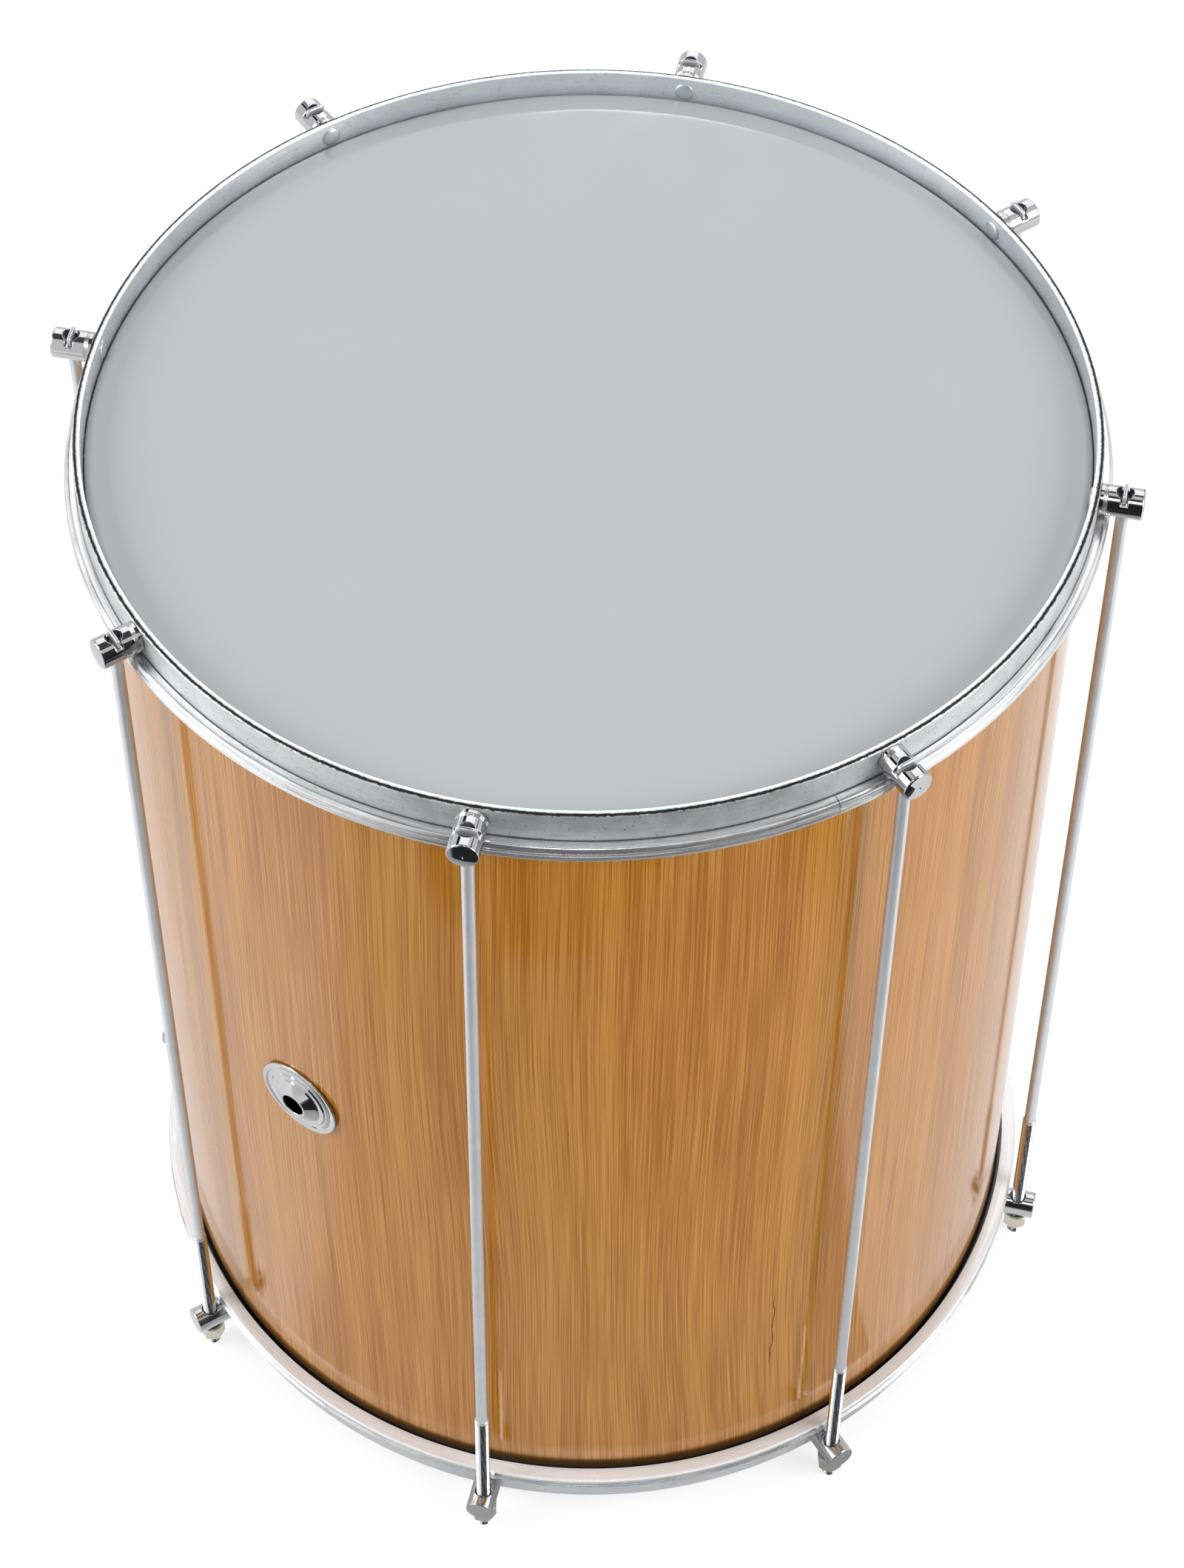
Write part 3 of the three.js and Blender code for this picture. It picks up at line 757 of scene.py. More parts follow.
def lacquered_wood(settings):
    """Honey coloured veneer with upright grain under a clear, high gloss lacquer.

    All the figure is noise that is stretched along Z and read at the way round the shell,
    the angle from the front times the radius, so the veneer's butt joint is at the back. A
    slow drift is added to the way round, which bends the grain. Fibres under a millimetre
    wide lie over streaks and broad bands, and pores and one hairline crack break them."""
    values = {"IOR": 1.5, "Roughness": settings.gloss}
    made, shader, place = new_material("lacquered_wood", values)
    x, y, z = split(place)
    sway = 45 * MM
    drift = (noise(stretched(place, (4, 4, 1.6)), 1, 1) - 0.5) * sway
    bent = combined(x.arctan2(y * -1) * SHELL_RADIUS + drift, 0.0, z)

    def grain(width, stretch, detail):
        """Upright noise: its width, how many times longer it is, and its detail."""
        scale = (1 / width, 1, 1 / (width * stretch))
        return noise(stretched(bent, scale), 1, detail, 0.6)

    fibres = grain(0.95 * MM, 170, 0)
    streaks = grain(5 * MM, 100, 1)
    figure = 0.0
    for part, weight in (
        (grain(0.42 * MM, 200, 0), 0.50),
        (fibres, 0.34),
        (grain(2 * MM, 150, 1), 0.12),
        (streaks, 0.08),
        (grain(20 * MM, 50, 1), 0.30),
        (grain(0.3 * MM, 8, 0), 0.06),
    ):
        figure = part * weight + figure
    tone = mixed(figure.between(0.52, 0.89), settings.dark, settings.light)
    pores = grain(0.4 * MM, 30, 1).between(0.62, 0.74)
    clusters = grain(9 * MM, 16, 2).between(0.40, 0.65)
    tone = mixed(pores * clusters * 0.25, tone, settings.pore)

    cos, sin = math.cos(settings.crack_angle), math.sin(settings.crack_angle)
    straying, widest, low_taper, high_taper = 7 * MM, 0.45 * MM, 20 * MM, 25 * MM
    wobble = (noise(place, 45, 3) - 0.5) * straying
    off_crack = abs(x * -sin + y * cos + wobble)
    ends = z.between(settings.crack_low, settings.crack_low + low_taper)
    ends = ends * z.between(settings.crack_high, settings.crack_high - high_taper)
    width = ends * widest
    crack = off_crack.between(width, width * 0.4) * (x * cos + y * sin > 0) * ends
    crack_tone, painted_shade_tone, painted_shade_fade = (0.045, 0.018, 0.006, 1), (0.03, 0.012, 0.003, 1), 9 * MM
    # Painted shade: the whole shell is mixed a tenth of the way to a near black brown, and below
    # the foot height up to nine tenths. This stands for the shadow of the gap above the lower
    # flesh hoop and its reflection in the lacquer.
    foot = z.between(settings.foot, settings.foot - painted_shade_fade, 0.1, 0.9)
    tone = mixed(foot, mixed(crack, tone, crack_tone), painted_shade_tone)

    rough = noise(place, 25, 3) * 0.06 + (settings.gloss - 0.03)
    normal = bumped(fibres + streaks * 2.0 - crack * 3, 0.4, 0.05 * MM)
    connect(shader, {"Base Color": tone, "Roughness": rough, "Normal": normal})
    return made


def raw_wood():
    """The bare inside of the shell: pale, dull and grained upright."""
    made, shader, place = new_material("raw_wood", {"IOR": 1.45, "Roughness": 0.8})
    fibres = noise(stretched(place, (500, 500, 12)), 1, 4)
    dark, light = (0.30, 0.17, 0.08, 1), (0.50, 0.33, 0.18, 1)
    tone = mixed(fibres, dark, light)
    connect(shader, {"Base Color": tone, "Normal": bumped(fibres, 0.4, 0.2 * MM)})
    return made


def milky_film(settings):
    """Smooth white film: nearly even, glossy, with a faint haze and a few specks of dust."""
    gloss = settings.gloss
    made, shader, place = new_material("milky_film", {"IOR": 1.55, "Roughness": gloss})
    haze = noise(place, 9, 4).between(0.3, 0.7)
    tone = mixed(haze, settings.tint, tinted(settings.tint, (0.985, 0.985, 0.98)))
    specks = sparse_pits(place, 14 * MM, 0.02, 0.35)[0]
    dust = (0.30, 0.30, 0.29, 1)
    tone = mixed(specks * 0.12, tone, dust)
    rough = noise(place, 30, 3).between(0.3, 0.8, gloss, gloss + 0.05)
    normal = bumped(noise(place, 14, 2), 0.25, 0.25 * MM)
    connect(shader, {"Base Color": tone, "Roughness": rough, "Normal": normal})
    return made


def drawn_aluminium(settings):
    """Bright drawn aluminium with fine lines round the drum and a few dark nicks.

    The face that the saw left, at a ring's end over the shell, is whiter and matt."""
    values = {"Metallic": 1.0, "Roughness": 0.2}
    made, shader, place = new_material("drawn_aluminium", values)
    streaks = rolled_streaks(place, 60 * MM, 0.22 * MM)[0]
    broad = rolled_streaks(place, 25 * MM, 0.9 * MM)[0]
    nicks = sparse_pits(place, 9 * MM, 0.03, 0.4)[0]
    tone = mixed(broad.between(0.35, 0.65), tinted(settings.tint, 0.80), settings.tint)
    level = abs(split(place)[2] - MIDDLE_HEIGHT)
    end_level = HALF_HEIGHT - FLESH_FAR + 0.1 * MM
    sawn = level.between(end_level + 0.15 * MM, end_level)
    saw_lines = streaks.between(0.35, 0.65, 0, 0.5)
    pale, lined, nicked = (0.95, 0.95, 0.95, 1), (0.72, 0.71, 0.71, 1), (0.08, 0.075, 0.07, 1)
    tone = mixed(sawn * 0.85, tone, mixed(saw_lines, pale, lined))
    tone = mixed(nicks * 0.7, tone, nicked)
    inputs = {
        "Base Color": tone,
        "Roughness": broad.between(0.3, 0.7, 0.16, 0.32),
        "Metallic": sawn.between(0, 1, 0.85, 0.3),
        "Normal": bumped(streaks - nicks, 0.35, 0.03 * MM),
    }
    connect(shader, inputs)
    return made


def galvanised_steel(settings):
    """Galvanised bar: clouded grey zinc with rolling marks, dark scratches and small pits.

    On the edge at each open end of the drum the inner half is painted near white, and the
    outer half is painted black and ragged as a painted dark reflection."""
    values = {"Metallic": 0.7, "Roughness": 0.4}
    made, shader, place = new_material("galvanised_steel", values)
    clouds = noise(place, 55, 4)
    streaks = rolled_streaks(place, 30 * MM, 0.35 * MM)[0]
    scratches = rolled_streaks(place, 12 * MM, 1.6 * MM)[0].between(0.66, 0.74)
    holes = sparse_pits(place, 4 * MM, 0.12, 0.5)[0]
    grains = sparse_pits(place, 1.5 * MM, 0.14, 0.22)[0]
    marks = holes.larger(grains).larger(scratches * 0.5)
    tone = mixed(clouds.between(0.3, 0.7), tinted(settings.tint, 0.78), settings.tint)
    mottled, rolled, pitted = (0.24, 0.25, 0.26, 1), (0.85, 0.88, 0.9, 1), (0.06, 0.06, 0.065, 1)
    tone = mixed(noise(place, 1300, 3).between(0.52, 0.68, 0, 0.4), tone, mottled)
    tone = mixed(streaks.between(0.3, 0.7, 0, 0.22), tone, rolled)
    tone = mixed(marks * 0.82, tone, pitted)

    x, y, z = split(place)
    level = abs(z - MIDDLE_HEIGHT)
    ragged = noise(place, 480, 4) * (1.2 * MM)
    reach = from_axis(x, y) + ragged

    def beyond(start, end):
        """1 where the reach has passed the second distance from the hoop's outer face."""
        return reach.between(HOOP_OUTSIDE + start * MM, HOOP_OUTSIDE + end * MM)

    painted_lit_zinc, edge_white, painted_dark_reflection = (0.88, 0.91, 0.94, 1), (1.0, 1.0, 0.99, 1), (0.02, 0.02, 0.02, 1)
    # Painted light: the whole lower hoop and the inner faces of both hoops are mixed half way to a
    # paler zinc. This lit copy stands for the brighter floor and light that they mirror.
    within = beyond(-3, -3.3)
    tone = mixed((z < MIDDLE_HEIGHT).larger(within) * 0.5, tone, painted_lit_zinc)
    # The inner half of the top of each end is painted near white.
    near_end = level.between(HALF_HEIGHT - 0.7 * MM, HALF_HEIGHT - 0.3 * MM)
    tone = mixed(beyond(-1.9, -2.3) * near_end, tone, edge_white)
    # Painted dark reflection: the outer rounded corner at each end is painted black and ragged.
    near_edge = (level + ragged).between(HALF_HEIGHT - 1.0 * MM, HALF_HEIGHT - 0.5 * MM)
    rim = near_edge * (beyond(-1.6, -1.2) * beyond(0.2, -0.2))
    tone = mixed(rim, tone, painted_dark_reflection)

    rough = clouds.between(0.3, 0.7, 0.34, 0.48) + marks * 0.25 - within * 0.1
    relief = clouds * 1.5 + streaks - marks * 1.2
    normal = bumped(relief, 0.4, settings.edge * 0.12)
    connect(shader, {"Base Color": tone, "Roughness": rough, "Normal": normal})
    return made


def plated(name, tint, smooth, dull, cloud_size, relief_strength=0.15, metallic=1.0):
    """Plated steel, such as chrome, nickel or bright zinc, a little hazed by handling.

    The upper posts' chrome has a tan stain within a millimetre of the hoop's outer face."""
    made, shader, place = new_material(name, {"Metallic": metallic, "Roughness": smooth})
    rough, scratches = handled_metal(place, cloud_size, smooth, dull)
    specks = sparse_pits(place, 4 * MM, 0.03, 0.3)[0]
    tone = mixed(noise(place, 90, 2).between(0.35, 0.7), tint, tinted(tint, 0.94))
    dirt, tan = (0.12, 0.11, 0.10, 1), (0.22, 0.13, 0.06, 1)
    tone = mixed(specks * 0.6, tone, dirt)
    if name == "chrome":
        x, y, _ = split(place)
        reach = from_axis(x, y) + noise(place, 700, 3) * (1.4 * MM)
        stain = reach.between(HOOP_OUTSIDE + 1.5 * MM, HOOP_OUTSIDE + 0.9 * MM)
        tone = mixed(stain * 0.8, tone, tan)
    normal = bumped(scratches - specks, relief_strength, 0.01 * MM)
    connect(shader, {"Base Color": tone, "Roughness": rough, "Normal": normal})
    return made


# Operators


class SURDO_OT_shell(bpy.types.Operator):
    """Build the wooden shell with its bearing edges and the hole for the vent"""

    bl_idname = "surdo.shell"
    bl_label = "Shell"

    def execute(self, context):
        settings = context.scene.surdo_shell
        surface = self.surface(settings)
        inside = SHELL_RADIUS - settings.wall + 0.5 * MM

        def choose(centres):
            return np.hypot(centres[:, 0], centres[:, 1]) < inside

        finishes = [lacquered_wood(settings), raw_wood()]
        name, slot = "shell_wood", "lacquered_wood"
        add_piece(name, surface, finishes, "drum", ["shell"], choose=choose)
        return {"FINISHED"}

    def surface(self, settings):
        """A wall carried round the axis, with a round hole where the vent goes.

        The grid has a square window at the vent. A point near it is pushed along its own
        line from the vent's axis: at the window's edge by the ratio of its square distance
        to its round distance, which makes the window round, and by less further out."""
        edge = settings.bearing_round
        inner = SHELL_RADIUS - settings.wall
        peak = SHELL_RADIUS - edge
        vent = middle("vent_ring")
        vent_angle = math.atan2(vent.y, vent.x)
        window_lines, blend_lines, round_lines, level_lines, round_steps = 13, 7, 241, 14, 6
        window = np.linspace(-settings.hole, settings.hole, window_lines)
        blend = np.linspace(settings.hole, settings.hole_blend, blend_lines)[1:]
        near = np.concatenate((-blend[::-1], window, blend))
        near_angles = np.arcsin(near / SHELL_RADIUS)
        far = np.linspace(near_angles[-1], TURN + near_angles[0], round_lines)[1:-1]
        angles = np.concatenate((near_angles, far)) + vent_angle
        low = np.linspace(SHELL_BOTTOM + edge, vent.z + near[0], level_lines)[:-1]
        high = np.linspace(vent.z + near[-1], SHELL_TOP - edge, level_lines)[1:]
        levels = np.concatenate((low, vent.z + near, high))
        top = arc_points((peak, SHELL_TOP - edge), edge, 0, QUARTER, round_steps)[1:]
        bottom = arc_points((peak, SHELL_BOTTOM + edge), edge, -QUARTER, 0, round_steps)[:-1]
        inner_levels = levels[::-1].copy()
        inner_levels[0] = SHELL_TOP - (peak - inner)
        inner_levels[-1] = SHELL_BOTTOM + (peak - inner)
        outer_wall = np.stack((np.full(len(levels), SHELL_RADIUS), levels), 1)
        inner_wall = np.stack((np.full(len(levels), inner), inner_levels), 1)
        outline = np.concatenate((outer_wall, top, inner_wall, bottom))
        rows, columns = len(outline), len(angles)
        height = np.repeat(outline[:, 1:], columns, 1)
        turned = np.repeat(angles[None], rows, 0)
        sideways = SHELL_RADIUS * np.sin(turned - vent_angle)
        upwards = height - vent.z
        facing = np.cos(turned - vent_angle) > 0
        square = np.maximum(np.abs(sideways), np.abs(upwards))
        straight = np.maximum(np.hypot(sideways, upwards), 1e-9)
        fade = (square - settings.hole) / (settings.hole_blend - settings.hole)
        fade = smoothstep(np.clip(fade, 0, 1))
        ratio = fade + (1 - fade) * square / straight
        push = np.where(facing & (square < settings.hole_blend), ratio, 1)
        height = np.where(push != 1, vent.z + upwards * push, height)
        bent = vent_angle + np.arcsin(np.clip(sideways * push / SHELL_RADIUS, -1, 1))
        turned = np.where(push != 1, bent, turned)
        points = from_polar(outline[:, :1], turned, height)

        faces = grid_faces(rows, columns, True, True)
        row, column = np.divmod(np.arange(rows * columns), columns)
        cells = len(window) - 1
        first_column = len(blend)
        last_column = first_column + cells
        outer_first = len(low) + len(blend)
        inner_first = len(levels) + round_steps + len(high) + len(blend)
        cut = (row >= outer_first) & (row < outer_first + cells)
        cut |= (row >= inner_first) & (row < inner_first + cells)
        cut &= (column >= first_column) & (column < last_column)

        def rim(bottom, top):
            """The window's edge, once round, from rows at its bottom and top."""
            step = 1 if top > bottom else -1
            across = np.arange(first_column, last_column)
            upright = np.arange(bottom, top, step)
            sides = (
                bottom * columns + across,
                upright * columns + last_column,
                top * columns + across[::-1] + 1,
                (upright[::-1] + step) * columns + first_column,
            )
            return np.concatenate(sides)

        outer_rim = rim(outer_first, outer_first + cells)
        inner_rim = rim(inner_first + cells, inner_first)
        around = (np.roll(inner_rim, -1), inner_rim, outer_rim, np.roll(outer_rim, -1))
        groups = [faces[~cut], np.stack(around, 1)]
        used = np.unique(np.concatenate([group.ravel() for group in groups]))
        renumber = np.full(len(points), -1)
        renumber[used] = np.arange(len(used))
        return points[used], [renumber[group] for group in groups]


def film_outline(shell, head):
    """A head's section as radius and depth below the hoop's edge, from the axis and back.

    The film lies flat and sinks a little near the bearing edge, by the square of the share
    of that ring's width. It bends over the edge on an arc, runs down as a collar and ends in
    a flange. Its two faces are a film's thickness apart."""
    peak = SHELL_RADIUS - shell.bearing_round
    under = shell.bearing_round + head.collar
    outer = under + head.film
    slope = 2 * head.droop / head.droop_width
    centre = (peak, FILM_DEPTH + head.droop + outer * math.cos(slope))
    top = arc_points(centre, outer, slope - math.pi / 2, 0, 12)
    below = arc_points(centre, under, 0, slope - math.pi / 2, 12)
    near = head.flange_depth
    far = near + head.film
    turn = 0.8 * MM
    wide_turn = turn + head.film
    bend_near = arc_points((peak + outer + turn, near - turn), turn, math.pi, QUARTER, 4)
    far_centre = (peak + under + wide_turn, far - wide_turn)
    bend_far = arc_points(far_centre, wide_turn, QUARTER, math.pi, 4)
    ends = np.array(((FLANGE_REACH, near), (FLANGE_REACH, far)))
    sinking = np.linspace(peak - head.droop_width, peak, 13)[:-1]
    flat = np.concatenate((np.linspace(0, sinking[0], 24)[:-1], sinking))
    sunk = np.clip((flat - sinking[0]) / head.droop_width, 0, 1)
    depth = FILM_DEPTH + head.droop * sunk * sunk
    top_flat = np.stack((flat, depth), 1)
    under_flat = np.stack((flat, depth + head.film), 1)[::-1]
    return np.concatenate((top_flat, top, bend_near, ends, bend_far, below, under_flat))


def at_end(outline, side):
    """An outline of radius and depth, carried to heights at the top or the bottom end."""
    depth = outline[:, 1]
    height = TOP_EDGE - depth if side == "top" else BOTTOM_EDGE + depth
    return np.stack((outline[:, 0], height), 1)


class SURDO_OT_heads(bpy.types.Operator):
    """Build the two heads of milky film"""

    bl_idname = "surdo.heads"
    bl_label = "Heads"

    def execute(self, context):
        scene = context.scene
        outline = film_outline(scene.surdo_shell, scene.surdo_head)
        finish = milky_film(scene.surdo_head)
        for side in ("top", "bottom"):
            surface = revolved(at_end(outline, side))
            name = f"{side}_film"
            add_piece(name, surface, [finish], "drum", [f"{side}_head"], sharp=40)
        return {"FINISHED"}


def flesh_hoop_outline(flesh, hoop, head, side):
    """A flesh hoop's section: a lip, a groove, a thin bead, a round bead, a ledge with the
    seat for the steel hoop, and the slot on its inner side that grips the film. The lower
    ring's lip is higher, and both of its sides stand back."""
    inner = SHELL_RADIUS + head.collar + head.film + hoop.gap
    lip_top = FLESH_FAR - flesh.lip
    lip_end = FLESH_FAR if side == "top" else FLESH_FAR + flesh.low_lip
    inset = 0 if side == "top" else flesh.low_inset
    groove = FLESH_OUTSIDE - flesh.groove_depth
    thin_low = lip_top - flesh.groove
    thin_high = thin_low - flesh.thin_bead
    seat_side = HOOP_OUTSIDE + hoop.gap
    seat_depth = HOOP_HEIGHT + hoop.gap
    slot_far = FLESH_FAR - flesh.slot_floor
    slot_near = slot_far - flesh.slot
    soft, crisp = 0.35 * MM, 0.12 * MM
    corners = [
        (inner + inset, lip_end, flesh.lip_inside if side == "top" else crisp),
        (FLESH_OUTSIDE - inset, lip_end, soft),
        (FLESH_OUTSIDE - inset, lip_top, soft),
        (groove, lip_top - crisp, crisp),
        (groove, thin_low + crisp, crisp),
        (FLESH_OUTSIDE - soft, thin_low, crisp),
        (FLESH_OUTSIDE - soft, thin_high, crisp),
        (groove, thin_high - crisp, crisp),
        (groove, FLESH_NEAR, min(flesh.bead, thin_high - FLESH_NEAR - 2 * crisp)),
        (seat_side, FLESH_NEAR, soft),
        (seat_side, seat_depth, crisp),
        (inner, seat_depth, crisp),
        (inner, slot_near, crisp),
        (inner + flesh.slot_reach, slot_near, crisp),
        (inner + flesh.slot_reach, slot_far, crisp),
        (inner + inset, slot_far, crisp),
    ]
    return rounded(corners, 5)


class SURDO_OT_flesh_hoops(bpy.types.Operator):
    """Build the two beaded aluminium rings that grip the heads"""

    bl_idname = "surdo.flesh_hoops"
    bl_label = "Flesh hoops"

    def execute(self, context):
        scene = context.scene
        flesh = scene.surdo_flesh_hoop
        finish = drawn_aluminium(flesh)
        half = flesh.joint / 2 / FLESH_OUTSIDE
        for side, place in (("top", flesh.joint_angle), ("bottom", flesh.joint_angle + math.pi)):
            angles = np.linspace(place + half, place + TURN - half, 289)
            outline = flesh_hoop_outline(flesh, scene.surdo_hoop, scene.surdo_head, side)
            surface = revolved(at_end(outline, side), angles)
            name, nodes = f"{side}_flesh_ring", [f"{side}_flesh_hoop"]
            add_piece(name, surface, [finish], "drum", nodes, sharp=50)
        return {"FINISHED"}


class SURDO_OT_hoops(bpy.types.Operator):
    """Build the two galvanised steel hoops"""

    bl_idname = "surdo.hoops"
    bl_label = "Hoops"

    def execute(self, context):
        hoop = context.scene.surdo_hoop
        inner = HOOP_OUTSIDE - hoop.thickness
        sizes = (inner, HOOP_OUTSIDE, HOOP_HEIGHT, 0)
        outline = bar_outline(*sizes, hoop.inner_edge, hoop.edge)
        finish = galvanised_steel(hoop)
        for side in ("top", "bottom"):
            surface = revolved(at_end(outline, side), sides=288)
            name = f"{side}_steel_hoop"
            add_piece(name, surface, [finish], "drum", [f"{side}_hoop"])
        return {"FINISHED"}


def rivet_surface(post, hoop):
    """The riveted head inside a hoop: a low dome with a soft edge, turned about X.

    The dome falls by a cosine from its middle, and an arc joins it to the hoop."""
    base = HOOP_OUTSIDE - hoop.thickness + 0.1 * MM
    soft = 0.4 * MM
    edge_height = 0.85 * MM
    flat_share = 0.55
    part = np.linspace(0, 1, 9) * QUARTER
    radius = post.rivet * np.sin(part) * (post.rivet - soft) / post.rivet
    height = post.rivet_height * (flat_share + (1 - flat_share) * np.cos(part))
    dome = np.stack((radius, height - height[-1] + edge_height), 1)[:-1]
    edge = arc_points((post.rivet - soft, edge_height - soft), soft, QUARTER, 0, 4)
    points, faces = revolved(np.concatenate((dome, edge, ((post.rivet, 0), (0, 0)))), sides=48)
    return np.stack((base - points[:, 2], points[:, 1], points[:, 0]), 1), faces


def add_posts(kind, side, height, solid, chrome, rivet):
    """Eight like posts with their rivets, each turned towards its rod."""
    points, faces, normals = solid
    steel = bpy.data.materials["galvanised_steel"]
    for number in STATIONS:
        crossing = on_axis(number, height)
        spin = about_z(math.atan2(crossing[1], crossing[0]))
        place = (0, 0, height)
        body = moved(points, spin, place), faces
        name, nodes = f"{kind}_post_body_{number}", [f"{kind}_post_{number}"]
        add_piece(name, body, [chrome], "drum", nodes, normals=normals @ spin.T)
        head = moved(rivet[0], spin, place), rivet[1]
        add_piece(f"{side}_rivet_{number}", head, [steel], "drum", [], sharp=45)


def rod_reach(height):
    """The distance from the drum's axis at which the rods pass a height."""
    return math.hypot(*on_axis(1, height)[:2])


class SURDO_OT_hook_posts(bpy.types.Operator):
    """Build the eight upper posts, with the hole and the slot that hold a rod's head"""

    bl_idname = "surdo.hook_posts"
    bl_label = "Upper posts"

    def execute(self, context):
        post = context.scene.surdo_post
        reach = rod_reach(HOOK_HEIGHT)
        groove_places = [post.groove_first + k * post.groove_step for k in range(3)]

        def field(p):
            """Distance outside the post: the largest of the distances from its side, its
            domed end, its root, and, turned inside out, from its mark, hole and slot."""
            x, y, z = p[..., 0], p[..., 1], p[..., 2]
            about = np.hypot(y, z)
            radius = POST_RADIUS
            for place in groove_places:
                off_groove = (x - (HOOP_OUTSIDE + place)) / post.groove_width
                radius = radius - post.groove * np.exp(-(off_groove**2))
            end = x - POST_TIP + post.dome * (about / POST_RADIUS) ** 2
            body = smooth_max(about - radius, end, post.edge)
            body = np.maximum(body, POST_ROOT - x)
            mark = post.centre - np.hypot(np.hypot(x - POST_TIP - 0.4 * post.centre, y), z)
            body = smooth_max(body, mark, post.centre / 3)
            hole = post.hole - np.hypot(x - reach, y)
            floor = POST_RADIUS - post.slot_depth
            slot = -np.maximum(np.abs(x - reach) - post.slot, floor - z)
            return smooth_max(smooth_max(body, hole, post.crisp), slot, post.crisp)

        margin = 2 * post.cell
        fine_groove, fine_mark = 0.12 * MM, 0.16 * MM
        grooves = HOOP_OUTSIDE + post.groove_first - 0.6 * MM
        groove_end = grooves + 2 * post.groove_step + 1.2 * MM
        before = lines(POST_ROOT - margin, grooves, post.cell)
        within = lines(grooves, groove_end, fine_groove)[1:]
        beyond = lines(groove_end, POST_TIP + margin, post.cell)[1:]
        half = lines(2 * post.centre, POST_RADIUS + margin, post.cell)[1:]
        mark_lines = lines(-2 * post.centre, 2 * post.centre, fine_mark)
        side = np.concatenate((-half[::-1], mark_lines, half))
        solid = solid_surface(field, np.concatenate((before, within, beyond)), side, side)
        chrome = plated("chrome", post.tint, 0.035, 0.09, 8 * MM)
        rivet = rivet_surface(post, context.scene.surdo_hoop)
        add_posts("hook", "top", HOOK_HEIGHT, solid, chrome, rivet)
        return {"FINISHED"}


class SURDO_OT_eye_posts(bpy.types.Operator):
    """Build the eight lower posts, each with the eye that a rod goes through"""

    bl_idname = "surdo.eye_posts"
    bl_label = "Lower posts"

    def execute(self, context):
        post = context.scene.surdo_post
        reach = rod_reach(EYE_HEIGHT)

        def field(p):
            """Distance outside the post: the largest of the distances from its side and its
            two ends, and, turned inside out, from its eye, which widens at its two mouths."""
            x, y, z = p[..., 0], p[..., 1], p[..., 2]
            body = smooth_max(np.hypot(y, z) - POST_RADIUS, x - POST_TIP, post.edge)
            body = np.maximum(body, POST_ROOT - x)
            return smooth_max(body, post.eye - np.hypot(x - reach, y), post.crisp)

        margin = 2 * post.cell
        xs = lines(POST_ROOT - margin, POST_TIP + margin, post.cell)
        side = lines(-POST_RADIUS - margin, POST_RADIUS + margin, post.cell)
        solid = solid_surface(field, xs, side, side)
        chrome = plated("satin_chrome", post.tint, 0.09, 0.2, 8 * MM)
        rivet = rivet_surface(post, context.scene.surdo_hoop)
        add_posts("eye", "bottom", EYE_HEIGHT, solid, chrome, rivet)
        return {"FINISHED"}


